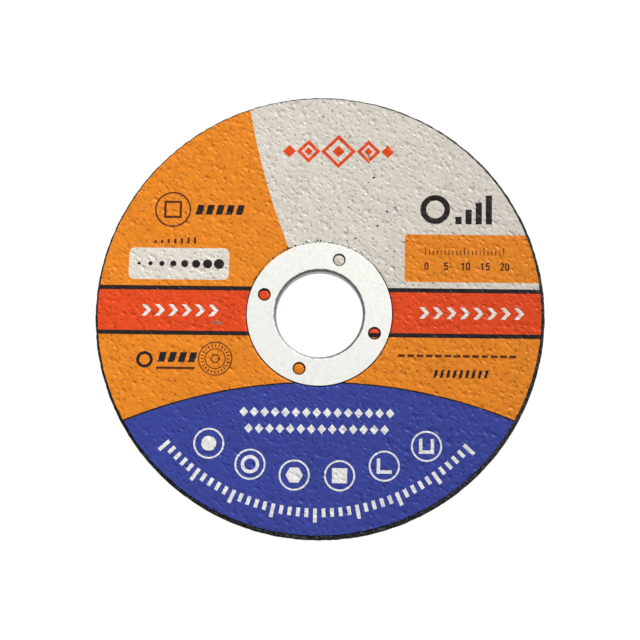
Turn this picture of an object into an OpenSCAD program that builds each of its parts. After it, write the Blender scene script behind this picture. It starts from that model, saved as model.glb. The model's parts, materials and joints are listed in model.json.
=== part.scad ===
// Reinforced cut-off wheel for an angle grinder, in millimetres.
// A pressed abrasive disc carries a printed paper label, and a stamped metal ring
// sits in a seat pressed into the label and lines the bore.
// The wheel lies on its back face: the origin is on the bore's axis at that face,
// and +Z points out of the labelled side.

/* [Wheel] */
// Outside diameter of the wheel
wheel_d = 115; // [100:0.5:125]
// Thickness over the label, clear of the ring
wheel_t = 3; // [2:0.1:6]
// Chamfer on the two edges of the rim
rim_break = 0.15; // [0.05:0.05:0.3]

/* [Arbor ring] */
// Bore that slides over the grinder's flange
bore_d = 22.23; // [20:0.01:24]
// Outside diameter of the flange
ring_d = 37.2; // [35:0.1:42]
// Thickness of the sheet metal
ring_sheet = 0.35; // [0.25:0.05:0.5]
// Inside radius of the bend from flange to collar
ring_bend = 0.1; // [0.05:0.05:0.3]
// Rolled edge that stamping leaves round the flange
ring_roll = 0.1; // [0.05:0.05:0.2]
// Height of the flange above the label
ring_proud = 0.15; // [0.05:0.05:0.2]
// Distance that the collar ends short of the back face
collar_short = 0.2; // [0.1:0.1:1]
// Gap between the collar and the disc's bore
collar_fit = 0.05; // [0.02:0.01:0.2]
// Gap between the flange and the foot of its seat's wall
seat_gap = 0.15; // [0.05:0.05:0.5]

/* [Keying holes] */
// Number of holes in the flange
key_count = 4; // [2:1:8]
// Diameter of a hole
key_d = 3.2; // [2:0.1:4]
// Diameter of the circle through the holes
key_circle_d = 30; // [29:0.1:31]
// Angle of the first hole, anticlockwise from +X
key_angle = 71; // [0:1:180]
// Depth of the label's swelling below the flange's face
key_dip = 0.1; // [0.05:0.05:0.15]
// Gap between the label's swelling and the edge of its hole
key_gap = 0.15; // [0.05:0.05:0.4]

/* [Label] */
// Thickness of the printed paper
label_t = 0.15; // [0.1:0.05:0.3]
// Bare border between the label and the rim
label_margin = 0.65; // [0.4:0.05:3]
// Thickness of one film of printing ink
ink_t = 0.02; // [0.01:0.01:0.04]

/* [Printed fields] */
// Width of the red band across the middle
band_w = 10.8; // [6:0.1:14]
// Height of the band's middle above the wheel's centre
band_rise = 0.2; // [-1:0.1:1]
// Width of the dark rule on each side of the band
rule_w = 0.9; // [0.3:0.1:2]
// Radius of the arc on top of the lower segment
segment_r = 130; // [80:1:300]
// Distance from the wheel's centre down to the crest of that arc
segment_drop = 17.8; // [14:0.1:25]
// Width of the dark line along that arc
keyline_w = 0.4; // [0.1:0.05:1]
// Radius of the arc that ends the upper left field
sweep_r = 188; // [120:1:300]
// Distance from the centre line to the furthest left point of that arc
sweep_reach = 22; // [10:1:30]
// Height of that point above the wheel's centre
sweep_rise = 88; // [60:1:110]
// Gap between the upper rule and the panels above it
panel_gap = 1.6; // [0.5:0.1:3]
// Height of the scale panel, which runs out to the right
scale_panel_h = 12.5; // [8:0.5:16]
// Distance from the centre line to the scale panel's left edge
scale_panel_x = 22; // [19:0.5:35]
// Corner radius of the scale panel
scale_panel_r = 0.8; // [0.2:0.1:3]
// Width of the dot panel on the left
dot_panel_w = 26.6; // [15:0.1:28]
// Height of the dot panel
dot_panel_h = 8.3; // [5:0.1:12]
// Distance from the centre line to the dot panel's middle
dot_panel_x = 36.5; // [33:0.5:38]
// Corner radius of the dot panel
dot_panel_r = 1.4; // [0.3:0.1:2.4]

/* [Arrow heads on the band] */
// Height of an arrow head
arrow_h = 3; // [2:0.1:4.5]
// Length of an arrow head's ends along the band
arrow_w = 1.15; // [0.6:0.05:1.6]
// Distance that an arrow head's tip leads its ends
arrow_lead = 1.4; // [0.8:0.1:2]
// Distance from one arrow head to the next
arrow_pitch = 3.45; // [3:0.05:4]
// Distance from the centre line to the nearest arrow head on each side
arrow_x = 27; // [25:0.1:30]
// Number of arrow heads on the left
arrow_left = 6; // [1:1:8]
// Number of arrow heads on the right
arrow_right = 8; // [1:1:8]

/* [Lozenges on the lower segment] */
// Width of a lozenge
lozenge_w = 2.2; // [1:0.1:2.5]
// Height of a lozenge
lozenge_h = 2.5; // [1:0.1:4]
// Distance from one lozenge to the next
lozenge_pitch = 2.65; // [2.4:0.05:3]
// Number of lozenges in the upper row: the lower one has one fewer
lozenge_count = 15; // [3:1:17]
// Distance from the arc's crest down to the upper row
lozenge_drop = 8; // [5:0.1:9]
// Distance from the upper row down to the lower one
lozenge_row_pitch = 4.2; // [3:0.1:6]

/* [Metal sections on the lower segment] */
// Diameter of the ring round a section, to the middle of its line
stock_ring_d = 7.7; // [6:0.1:9]
// Width of the ring's line
stock_line_w = 0.42; // [0.2:0.02:1]
// Distance from the label's edge in to the rings' middles
stock_inset = 14.8; // [12:0.1:16]
// Angle from one ring to the next
stock_step = 15.6; // [12:0.1:18]
// Width of a section
stock_w = 3.8; // [2:0.1:4.4]
// Thickness of a section's wall
stock_wall = 0.85; // [0.3:0.05:0.95]

/* [Ticks along the rim] */
// Number of ticks
tick_count = 41; // [11:10:51]
// Angle from one tick to the next
tick_step = 2.4; // [2:0.1:3]
// Width of a tick
tick_w = 0.95; // [0.3:0.05:1.5]
// Length of a tick
tick_l = 2.2; // [1:0.1:3]
// Length of every fifth tick
tick_long_l = 3.5; // [2:0.1:5]
// Distance from the label's edge in to the ticks' inner ends
tick_inset = 7.4; // [6:0.1:9]

/* [Dots on their panel] */
// Number of dots
dot_count = 8; // [2:1:9]
// Distance from one dot to the next
dot_pitch = 2.95; // [2.7:0.05:3.2]
// Diameter of the smallest dot
dot_d = 0.84; // [0.4:0.02:1]
// Growth in diameter from one dot to the next
dot_growth = 0.26; // [0:0.02:0.28]

/* [Mark above the scale panel] */
// Diameter of its ring, to the middle of the line
mark_ring_d = 6.2; // [4:0.1:6.5]
// Width of the ring's line
mark_line_w = 1.5; // [0.5:0.1:2]
// Distance from the centre line to the ring's middle
mark_x = 29.6; // [28:0.1:31]
// Distance from the scale panel's top up to the foot of the mark
mark_rise = 2.8; // [1:0.1:5]
// Distance from the ring's middle to the middle of the first bar
mark_bar_x = 6; // [5.5:0.1:8]
// Width of a bar
mark_bar_w = 1.6; // [0.6:0.1:2]
// Height of the lowest bar
mark_bar_h = 2; // [1:0.1:3]
// Growth in height from one bar to the next
mark_bar_growth = 1.9; // [0.5:0.1:2.2]
// Distance from one bar to the next
mark_bar_pitch = 2.6; // [2.3:0.1:3]
// Number of bars
mark_bars = 4; // [2:1:4]

/* [Leaning blocks] */
// Width of a block
block_w = 1.7; // [0.8:0.1:2.2]
// Height of a block
block_h = 2.6; // [1.5:0.1:4]
// Distance that a block's top leans to the right
block_lean = 0.7; // [0:0.1:1.5]
// Distance from one block to the next
block_pitch = 2.6; // [2.4:0.05:3]
// Distance from the dot panel's top up to the middle of the row above it
upper_blocks_rise = 10.2; // [4:0.1:14]
// Distance from the centre line to the nearest block of that row
upper_blocks_x = 20.8; // [19:0.1:24]
// Number of blocks in that row
upper_blocks = 5; // [2:1:5]
// Distance from the lower rule down to the middle of the row below it
lower_blocks_drop = 5.9; // [3:0.1:7]
// Distance from the centre line to the nearest block of that row
lower_blocks_x = 32; // [29:0.1:33]
// Number of blocks in that row
lower_blocks = 4; // [2:1:5]

/* [Badge beside the upper blocks] */
// Diameter of its ring, to the middle of the line
badge_d = 9; // [7:0.1:11]
// Width of its ring's line
badge_line_w = 0.42; // [0.2:0.02:1]
// Width of the square tube inside the ring
badge_tube_w = 4.6; // [3:0.1:4.9]
// Thickness of that tube's wall
badge_tube_wall = 0.6; // [0.3:0.05:1.2]
// Distance from the centre line to its middle
badge_x = 38.25; // [37:0.05:40]

/* [Dashes and bars on the lower right] */
// Width of a dash
dash_w = 1.7; // [0.6:0.1:2]
// Height of a dash
dash_h = 0.7; // [0.3:0.1:1.2]
// Distance from one dash to the next
dash_pitch = 2.35; // [2.2:0.05:2.5]
// Number of dashes
dash_count = 13; // [3:1:13]
// Distance from the centre line to the nearest dash
dash_x = 21.3; // [20:0.1:23]
// Distance from the lower rule down to the middle of the dashes
dash_drop = 4.8; // [2:0.1:6]
// Width of a bar
bar_w = 0.75; // [0.4:0.05:1.2]
// Height of a bar
bar_h = 2; // [1:0.1:3]
// Distance that a bar's top leans to the right
bar_lean = 0.5; // [0:0.1:1]
// Distance from one bar to the next
bar_pitch = 1.6; // [1.4:0.05:2]
// Number of bars
bar_count = 9; // [2:1:10]
// Distance from the centre line to the nearest bar
bar_x = 30; // [26:0.1:32]
// Distance from the dashes down to the middle of the bars
bar_drop = 4.6; // [3:0.1:5]

/* [Ornament at the top] */
// Width across the middle lozenge
ornament_d = 9; // [6:0.1:10]
// Width that each next lozenge loses
ornament_loss = 2.8; // [2:0.1:2.9]
// Gap between two of its lozenges
ornament_gap = 0.2; // [0.1:0.05:1]
// Width of their lines, measured along a diagonal
ornament_line = 1.2; // [0.4:0.1:1.5]
// Distance from the centre line to its middle
ornament_x = 4.4; // [0:0.1:8]
// Distance from the label's edge in to its middle
ornament_inset = 14.2; // [12:0.1:16]

/* [Hidden] */
$fn = 180;

// Radii
wheel_r = wheel_d / 2;
label_r = wheel_r - label_margin;
ring_r = ring_d / 2;
bore_r = bore_d / 2;
collar_r = bore_r + ring_sheet;
disc_bore_r = collar_r + collar_fit;
label_hole_r = collar_r + ring_bend + collar_fit;
bend_out_r = ring_bend + ring_sheet;
seat_r = ring_r + seat_gap;

// Printed fields in the order that they hide each other: colour, and films of ink that it takes
paper_grey = "#CFC9BF";
ink_orange = "#E8861E";
ink_red = "#E04B27";
ink_blue = "#3A429C";
ink_black = "#2B2526";
ink_white = "#E4E4E0";
FIELDS = [
    [paper_grey, 0],
    [ink_orange, 1],
    [paper_grey, 0],
    [ink_orange, 1],
    [ink_orange, 1],
    [ink_black, 3],
    [ink_red, 2],
    [ink_black, 3],
    [ink_blue, 2]
];
LAST_FIELD = len(FIELDS) - 1;
most_films = max([for (layer = FIELDS) layer[1]]);

// Shapes printed over the fields: colour, and films of ink with those under it
SHAPES = [
    [ink_white, 3],
    [ink_black, 2],
    [ink_black, 1],
    [ink_red, 1]
];
LAST_SHAPE = len(SHAPES) - 1;
STOCK_KINDS = 6;
LONG_TICK_EVERY = 5;
ORNAMENT_STEPS = 2;

// Places up the label: the rules' outer edges, the panels' foot and the row above the dot panel
rule_top = band_rise + band_w / 2 + rule_w;
rule_foot = band_rise - band_w / 2 - rule_w;
panel_y = rule_top + panel_gap;
upper_row_y = panel_y + dot_panel_h + upper_blocks_rise;

// Heights: the flange rests on the thickest print, so the bare paper lies that much lower
ring_top = wheel_t + ring_proud;
flange_z = ring_top - ring_sheet;
seat_z = flange_z - most_films * ink_t;
seat_depth = wheel_t - seat_z;

// The label swells into each keying hole as a low dome
dome_base_r = key_d / 2 - key_gap;
dome_rise = ring_sheet - key_dip;
dome_r = (pow(dome_base_r, 2) + pow(dome_rise, 2)) / (2 * dome_rise);
dome_z = seat_z + dome_rise - dome_r;

// The label's face from its hole to its edge, or a surface under it by a given drop:
// the ring's seat, its sloped wall and the flat
function face_line(hole_r, edge_r, drop) = [
    [hole_r, seat_z - drop],
    [seat_r, seat_z - drop],
    [seat_r + seat_depth, wheel_t - drop],
    [edge_r, wheel_t - drop]
];

function reversed(points) = [for (i = [len(points) - 1:-1:0]) points[i]];

// Puts one of whatever follows at each keying hole
module at_keying_holes() {
    for (i = [0:key_count - 1])
        rotate(key_angle + i * 360 / key_count)
            translate([key_circle_d / 2, 0, 0])
                children();
}

// Domes under the keying holes, rooted a little below the seat they rise from
module keying_domes(drop) {
    root = label_t / 2;
    at_keying_holes()
        intersection() {
            translate([0, 0, dome_z])
                sphere(r = dome_r - drop);
            translate([0, 0, seat_z - drop - root])
                cylinder(d = key_d, h = root + ring_sheet);
        }
}

// Rectangle with round corners, from its lower left corner
module rounded_panel(w, h, r) {
    translate([r, 0])
        square([w - 2 * r, h]);
    translate([0, r])
        square([w, h - 2 * r]);
    for (x = [r, w - r], y = [r, h - r])
        translate([x, y])
            circle(r = r);
}

// Full width strip along the middle of the band
module strip(h) {
    translate([0, band_rise])
        square([wheel_d, h], center = true);
}

// Lower segment under an arc that is raised by the width of a line
module segment(line_w) {
    translate([0, -segment_drop - segment_r])
        circle(r = segment_r + line_w);
}

// Upper half of the label, left of the sweeping arc
module sweep_field() {
    difference() {
        translate([-wheel_r, 0])
            square([wheel_d, wheel_r]);
        translate([sweep_r - sweep_reach, sweep_rise])
            circle(r = sweep_r);
    }
}

module dot_panel() {
    translate([-dot_panel_x - dot_panel_w / 2, panel_y])
        rounded_panel(dot_panel_w, dot_panel_h, dot_panel_r);
}

module scale_panel() {
    translate([scale_panel_x, panel_y])
        rounded_panel(wheel_r, scale_panel_h, scale_panel_r);
}

module lower_field() {
    translate([-wheel_r, -wheel_r])
        square([wheel_d, wheel_r]);
}

// Outline of one field before the later ones are printed over it
module field_outline(i) {
    if (i == 0) circle(r = wheel_r);
    if (i == 1) sweep_field();
    if (i == 2) dot_panel();
    if (i == 3) scale_panel();
    if (i == 4) lower_field();
    if (i == 5) strip(band_w + 2 * rule_w);
    if (i == 6) strip(band_w);
    if (i == 7) segment(keyline_w);
    if (i == 8) segment(0);
}

// What shows of one field once the later ones are printed over it
module printed_field(i) {
    difference() {
        field_outline(i);
        for (j = [i + 1:1:LAST_FIELD])
            field_outline(j);
    }
}

// Puts copies of whatever follows side by side from the origin, to the left if the pitch is negative
module row(count, pitch) {
    for (i = [0:count - 1])
        translate([i * pitch, 0])
            children();
}

// Arrow head that points along +X, about its middle
module arrow_head() {
    half = (arrow_w + arrow_lead) / 2;
    polygon([
        [-half, -arrow_h / 2], [arrow_w - half, -arrow_h / 2], [half, 0],
        [arrow_w - half, arrow_h / 2], [-half, arrow_h / 2], [half - arrow_w, 0]
    ]);
}

module arrow_rows() {
    translate([-arrow_x, band_rise])
        row(arrow_left, -arrow_pitch)
            arrow_head();
    translate([arrow_x, band_rise])
        row(arrow_right, arrow_pitch)
            arrow_head();
}

module lozenge(w, h) {
    polygon([[w / 2, 0], [0, h / 2], [-w / 2, 0], [0, -h / 2]]);
}

// Two rows of lozenges under the crest of the lower segment
module lozenge_rows() {
    for (i = [0, 1])
        translate([
            -(lozenge_count - 1 - i) * lozenge_pitch / 2,
            -segment_drop - lozenge_drop - i * lozenge_row_pitch
        ])
            row(lozenge_count - i, lozenge_pitch)
                lozenge(lozenge_w, lozenge_h);
}

// Round line, measured across its middle
module line_ring(d, w) {
    difference() {
        circle(d = d + w);
        circle(d = d - w);
    }
}

// Section of one kind of metal stock: bar, tube, hexagon, square, angle or channel
module stock_section(kind) {
    if (kind == 0) circle(d = stock_w);
    if (kind == 1) line_ring(stock_w, stock_wall);
    if (kind == 2) circle(d = stock_w / cos(30), $fn = 6);
    if (kind == 3) square(stock_w, center = true);
    if (kind == 4)
        difference() {
            square(stock_w, center = true);
            translate([stock_wall, stock_wall])
                square(stock_w, center = true);
        }
    if (kind == 5)
        difference() {
            square(stock_w, center = true);
            translate([0, stock_wall])
                square([stock_w - 2 * stock_wall, stock_w], center = true);
        }
}

// Upright sections in rings that follow the rim
module stock_rings() {
    for (kind = [0:STOCK_KINDS - 1]) {
        a = -90 + (kind - (STOCK_KINDS - 1) / 2) * stock_step;
        translate((label_r - stock_inset) * [cos(a), sin(a)]) {
            line_ring(stock_ring_d, stock_line_w);
            stock_section(kind);
        }
    }
}

module rim_ticks() {
    for (i = [0:tick_count - 1])
        rotate(-90 + (i - (tick_count - 1) / 2) * tick_step)
            translate([label_r - tick_inset, -tick_w / 2])
                square([i % LONG_TICK_EVERY == 0 ? tick_long_l : tick_l, tick_w]);
}

// Block that leans to the right, about its middle
module leaning_block(w, h, lean) {
    foot = -(w + lean) / 2;
    polygon([[foot, -h / 2], [foot + w, -h / 2], [foot + w + lean, h / 2], [foot + lean, h / 2]]);
}

// A row above the dot panel and one below the band, both on the left
module block_rows() {
    translate([-upper_blocks_x, upper_row_y])
        row(upper_blocks, -block_pitch)
            leaning_block(block_w, block_h, block_lean);
    translate([-lower_blocks_x, rule_foot - lower_blocks_drop])
        row(lower_blocks, -block_pitch)
            leaning_block(block_w, block_h, block_lean);
}

// Section of a square tube in a ring
module badge() {
    translate([-badge_x, upper_row_y]) {
        line_ring(badge_d, badge_line_w);
        difference() {
            square(badge_tube_w, center = true);
            square(badge_tube_w - 2 * badge_tube_wall, center = true);
        }
    }
}

// A line of dashes below the band on the right, with a row of bars under it
module dashes_and_bars() {
    translate([dash_x, rule_foot - dash_drop])
        row(dash_count, dash_pitch)
            square([dash_w, dash_h], center = true);
    translate([bar_x, rule_foot - dash_drop - bar_drop])
        row(bar_count, bar_pitch)
            leaning_block(bar_w, bar_h, bar_lean);
}

// Dots that grow to the right, along the middle of their panel
module dots() {
    for (i = [0:dot_count - 1])
        translate([-dot_panel_x + (i - (dot_count - 1) / 2) * dot_pitch, panel_y + dot_panel_h / 2])
            circle(d = dot_d + i * dot_growth);
}

// A ring like a wheel seen from the front, and bars that grow to the right
module mark() {
    translate([mark_x, panel_y + scale_panel_h + mark_rise]) {
        translate([0, (mark_ring_d + mark_line_w) / 2])
            line_ring(mark_ring_d, mark_line_w);
        for (i = [0:mark_bars - 1])
            translate([mark_bar_x - mark_bar_w / 2 + i * mark_bar_pitch, 0])
                square([mark_bar_w, mark_bar_h + i * mark_bar_growth]);
    }
}

// Hollow lozenges that shrink to each side of the middle one
module ornament() {
    for (side = [-ORNAMENT_STEPS:ORNAMENT_STEPS]) {
        step = abs(side);
        size = ornament_d - step * ornament_loss;
        reach = step * (ornament_d + ornament_gap) - ornament_loss * pow(step, 2) / 2;
        translate([ornament_x + sign(side) * reach, label_r - ornament_inset])
            difference() {
                lozenge(size, size);
                lozenge(size - 2 * ornament_line, size - 2 * ornament_line);
            }
    }
}

// Outlines of the shapes that are printed in one colour over like fields
module shape_outlines(i) {
    if (i == 0) {
        arrow_rows();
        lozenge_rows();
        stock_rings();
        rim_ticks();
    }
    if (i == 1) {
        block_rows();
        badge();
        dashes_and_bars();
    }
    if (i == 2) {
        dots();
        mark();
    }
    if (i == 3) ornament();
}

// One sheet of paper, pressed down under the ring and up into its keying holes,
// with its face raised by a film of ink
module label_sheet(film) {
    difference() {
        union() {
            rotate_extrude()
                polygon(concat(
                    face_line(label_hole_r, label_r, -film),
                    reversed(face_line(label_hole_r, label_r, label_t))
                ));
            keying_domes(-film);
        }
        keying_domes(label_t);
    }
}

// Resin-bonded abrasive with the glass cloth moulded into it
module abrasive_disc() {
    face_edge_r = wheel_r - rim_break;
    color("#2A2A2B") {
        rotate_extrude()
            polygon(concat(
                [[disc_bore_r, 0], [face_edge_r, 0], [wheel_r, rim_break]],
                [[wheel_r, wheel_t - label_t - rim_break]],
                reversed(face_line(disc_bore_r, face_edge_r, label_t))
            ));
        keying_domes(label_t);
    }
}

// The printed sheet: its fields, and shapes of ink that are rooted in the paper
module label() {
    for (i = [0:LAST_FIELD])
        color(FIELDS[i][0])
            intersection() {
                label_sheet(FIELDS[i][1] * ink_t);
                linear_extrude(height = ring_top)
                    printed_field(i);
            }
    root = label_t / 2;
    for (i = [0:LAST_SHAPE])
        color(SHAPES[i][0])
            translate([0, 0, wheel_t - root])
                linear_extrude(height = root + SHAPES[i][1] * ink_t)
                    intersection() {
                        shape_outlines(i);
                        circle(r = label_r);
                    }
}

// Section of the stamped ring: flange, bend and collar
module ring_section() {
    bend_x = bore_r + bend_out_r;
    bend_z = ring_top - bend_out_r;
    difference() {
        translate([bend_x, flange_z])
            square([ring_r - bend_x, ring_sheet]);
        rolled_corner();
    }
    translate([bore_r, collar_short])
        square([ring_sheet, bend_z - collar_short]);
    intersection() {
        translate([bend_x, bend_z])
            difference() {
                circle(r = bend_out_r);
                circle(r = ring_bend);
            }
        translate([bore_r, bend_z])
            square(bend_out_r);
    }
}

// What the die's edge roll takes off the flange's upper corner
module rolled_corner() {
    translate([ring_r - ring_roll, ring_top - ring_roll])
        difference() {
            square(ring_roll);
            circle(r = ring_roll);
        }
}

module arbor_ring() {
    color("#E3E5E1")
        difference() {
            rotate_extrude()
                ring_section();
            at_keying_holes()
                cylinder(d = key_d, h = wheel_t + ring_sheet);
        }
}

abrasive_disc();
label();
arbor_ring();
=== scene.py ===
"""Looks of a reinforced cut-off wheel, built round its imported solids.

The wheel lies flat on a pale floor with its printed label up. Sizes are in
millimetres in the wheel's own frame and turn into metres where a mesh is made.
"""

import json
import logging
import math
from collections.abc import Iterable, Sequence
from dataclasses import dataclass, field
from enum import Enum
from typing import Any

import bmesh
import bpy
import numpy as np
from mathutils import Matrix, Vector
from mathutils.geometry import delaunay_2d_cdt

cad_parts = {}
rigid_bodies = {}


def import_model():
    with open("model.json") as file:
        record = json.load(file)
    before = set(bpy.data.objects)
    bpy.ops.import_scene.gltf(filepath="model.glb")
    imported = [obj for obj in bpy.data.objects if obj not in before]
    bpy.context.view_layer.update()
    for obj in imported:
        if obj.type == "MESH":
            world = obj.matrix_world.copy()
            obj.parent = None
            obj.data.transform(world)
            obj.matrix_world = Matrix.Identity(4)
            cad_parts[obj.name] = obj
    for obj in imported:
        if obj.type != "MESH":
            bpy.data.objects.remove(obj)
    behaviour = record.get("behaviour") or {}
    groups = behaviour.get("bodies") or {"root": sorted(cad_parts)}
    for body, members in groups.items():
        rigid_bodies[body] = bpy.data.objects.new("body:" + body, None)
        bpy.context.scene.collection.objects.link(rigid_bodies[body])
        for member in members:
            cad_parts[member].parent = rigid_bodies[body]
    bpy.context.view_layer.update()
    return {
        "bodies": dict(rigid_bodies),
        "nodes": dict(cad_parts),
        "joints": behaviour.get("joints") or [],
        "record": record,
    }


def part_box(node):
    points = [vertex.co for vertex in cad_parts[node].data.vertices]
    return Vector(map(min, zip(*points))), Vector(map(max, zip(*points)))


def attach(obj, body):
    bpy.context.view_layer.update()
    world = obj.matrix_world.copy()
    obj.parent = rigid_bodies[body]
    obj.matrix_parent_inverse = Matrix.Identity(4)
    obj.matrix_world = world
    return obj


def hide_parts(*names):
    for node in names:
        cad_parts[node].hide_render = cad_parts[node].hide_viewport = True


LOG = logging.getLogger("cut_off_wheel")
MM = 0.001
FULL_TURN = 2.0 * math.pi
BODY = "root"
# How close points may lie before they are joined: as a rule, and along a border that has to be met exactly.
MERGE_MM = 1e-3
EXACT_MM = 1e-7
# Width of a numeral that is one unit tall.
DIGIT_W = 0.54
# Where most of a noise texture's values lie.
NOISE_LOW, NOISE_HIGH = 0.3, 0.7
# Sockets of a colour mix, which share their names with its other kinds.
MIX_A, MIX_B, MIX_RESULT = 6, 7, 2

Point = tuple[float, float]
Loop = np.ndarray
Dent = tuple[float, float, float, float]
Socket = bpy.types.NodeSocket
Tree = bpy.types.NodeTree


def linear(hex_code: str) -> tuple[float, float, float, float]:
    """Turns an sRGB hex colour into linear light.

    Args:
        hex_code: six hex digits, red first.

    Returns:
        Red, green, blue and an alpha of one.
    """
    parts = [int(hex_code[i:i + 2], 16) / 255 for i in (0, 2, 4)]
    light = [c / 12.92 if c <= 0.04045 else ((c + 0.055) / 1.055) ** 2.4 for c in parts]
    return light[0], light[1], light[2], 1.0


def per_metre(size_mm: float) -> float:
    """Texture scale that repeats a pattern once in a size given in millimetres."""
    return 1.0 / (size_mm * MM)


def add_node(tree: Tree, kind: str, inputs: dict[str | int, Any], **settings: Any) -> bpy.types.Node:
    """Adds one shader node.

    Args:
        tree: the material's or world's node tree.
        kind: Blender's name for the node type.
        inputs: socket name or number to a value, or to the socket that feeds it.
        settings: properties of the node itself.

    Returns:
        The new node.
    """
    node = tree.nodes.new(kind)
    for name, value in settings.items():
        setattr(node, name, value)
    for name, value in inputs.items():
        if isinstance(value, Socket):
            tree.links.new(value, node.inputs[name])
        else:
            node.inputs[name].default_value = value
    return node


def add_noise(tree: Tree, place: Socket, size_mm: float, **inputs: float) -> bpy.types.Node:
    """Adds a noise texture of a size in millimetres, with its other inputs by name."""
    return add_node(tree, "ShaderNodeTexNoise", {"Vector": place, "Scale": per_metre(size_mm), **inputs})


def add_cells(tree: Tree, place: Socket, size_mm: float,
              flat: bool = False) -> tuple[Socket, Socket, Socket]:
    """Adds cells of a size in millimetres and returns the distance to their middles and two chances."""
    cells = add_node(tree, "ShaderNodeTexVoronoi", {
        "Vector": place, "Scale": per_metre(size_mm),
    }, voronoi_dimensions="2D" if flat else "3D")
    chance = add_node(tree, "ShaderNodeSeparateColor", {"Color": cells.outputs["Color"]})
    return cells.outputs["Distance"], chance.outputs["Red"], chance.outputs["Green"]


def ranged(tree: Tree, value: Socket, source: tuple[float, Any], target: Point = (0.0, 1.0),
           smooth: bool = False) -> Socket:
    """Carries a value from one range over to another and returns the socket of the result."""
    return add_node(tree, "ShaderNodeMapRange", {
        "Value": value, "From Min": source[0], "From Max": source[1],
        "To Min": target[0], "To Max": target[1],
    }, interpolation_type="SMOOTHSTEP" if smooth else "LINEAR").outputs["Result"]


def maths(tree: Tree, operation: str, first: Any, second: Any) -> Socket:
    """Works two values together and returns the socket of the result."""
    return add_node(tree, "ShaderNodeMath", {0: first, 1: second}, operation=operation).outputs[0]


def mix_colours(tree: Tree, factor: Any, first: Any, second: Any, blend: str = "MIX") -> Socket:
    """Mixes two colours by a factor and returns the socket of the result."""
    mixed = add_node(tree, "ShaderNodeMix", {
        "Factor": factor, MIX_A: first, MIX_B: second,
    }, data_type="RGBA", blend_type=blend)
    return mixed.outputs[MIX_RESULT]


def add_bump(tree: Tree, height: Socket, height_mm: float, strength: float = 1.0,
             **inputs: Socket) -> Socket:
    """Adds a bump whose full height is given in millimetres and returns the normal socket."""
    return add_node(tree, "ShaderNodeBump", {
        "Height": height, "Strength": strength, "Distance": height_mm * MM, **inputs,
    }).outputs["Normal"]


def new_finish(name: str) -> tuple[bpy.types.Material, bpy.types.Node, Socket]:
    """Starts a node material.

    Args:
        name: the real material's name.

    Returns:
        The material, its shader and the socket of object coordinates.
    """
    made = bpy.data.materials.new(name)
    made.use_nodes = True
    place = add_node(made.node_tree, "ShaderNodeTexCoord", {}).outputs["Object"]
    return made, made.node_tree.nodes["Principled BSDF"], place


class Ink(Enum):
    """What the label's surface shows at a point."""

    PAPER = "grey_paper"
    ORANGE = "orange_ink"
    RED = "red_ink"
    BLUE = "blue_ink"
    BLACK = "black_ink"
    WHITE = "white_ink"
    FIBRE = "torn_paper"
    SCUFF = "rubbed_ink"
    BROWN = "thin_black_ink"
    PALE = "pale_paper"

    @property
    def slot(self) -> int:
        """Number of the label's material slot for this ink."""
        return list(Ink).index(self)


@dataclass(frozen=True)
class Specks:
    """One kind of dark speck, scattered one to a cell over a share of the cells.

    The cells crowd together in some places, and each speck has a ragged edge.
    """

    cell_mm: float
    radius_mm: float
    share: float
    depth: float
    cluster_mm: float = 9.0
    ragged_mm: float = 0.5
    radius_play: Point = (0.6, 1.4)
    crowd_range: Point = (0.35, 0.65)
    crowd_play: Point = (0.4, 1.6)

    def over(self, tree: Tree, place: Socket, under: Socket, colour: str) -> Socket:
        """Lays the specks over a colour.

        Args:
            tree: the material's node tree.
            place: object coordinates.
            under: the colour under the specks.
            colour: the specks' own colour.

        Returns:
            The colour socket with specks.
        """
        crowd = add_noise(tree, place, self.cluster_mm).outputs["Fac"]
        edge = add_noise(tree, place, self.ragged_mm).outputs["Color"]
        moved = add_node(tree, "ShaderNodeVectorMath", {
            0: edge, 1: (self.radius_mm * MM,) * 3, 2: place,
        }, operation="MULTIPLY_ADD").outputs[0]
        distance, chance, size = add_cells(tree, moved, self.cell_mm, flat=True)
        usual_r = self.radius_mm / self.cell_mm
        small, large = self.radius_play
        radius = ranged(tree, size, (0.0, 1.0), (small * usual_r, large * usual_r))
        filled = ranged(tree, distance, (0.0, radius), (self.depth, 0.0), smooth=True)
        few, many = self.crowd_play
        limit = ranged(tree, crowd, self.crowd_range, (few * self.share, many * self.share))
        amount = maths(tree, "MULTIPLY", filled, maths(tree, "LESS_THAN", chance, limit))
        return mix_colours(tree, amount, under, linear(colour))


BARE_SPECKS = (
    Specks(cell_mm=1.7, radius_mm=0.4, share=0.42, depth=0.42),
    Specks(cell_mm=1.1, radius_mm=0.22, share=0.4, depth=0.6),
    Specks(cell_mm=2.4, radius_mm=0.32, share=0.14, depth=0.95),
)
INK_SPECKS = (
    Specks(cell_mm=1.6, radius_mm=0.46, share=0.5, depth=0.45),
    Specks(cell_mm=2.8, radius_mm=0.36, share=0.2, depth=0.75),
)
NICKS = (
    Specks(cell_mm=3.2, radius_mm=0.15, share=0.2, depth=0.75),
    Specks(cell_mm=1.4, radius_mm=0.1, share=0.12, depth=0.3),
)


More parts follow.
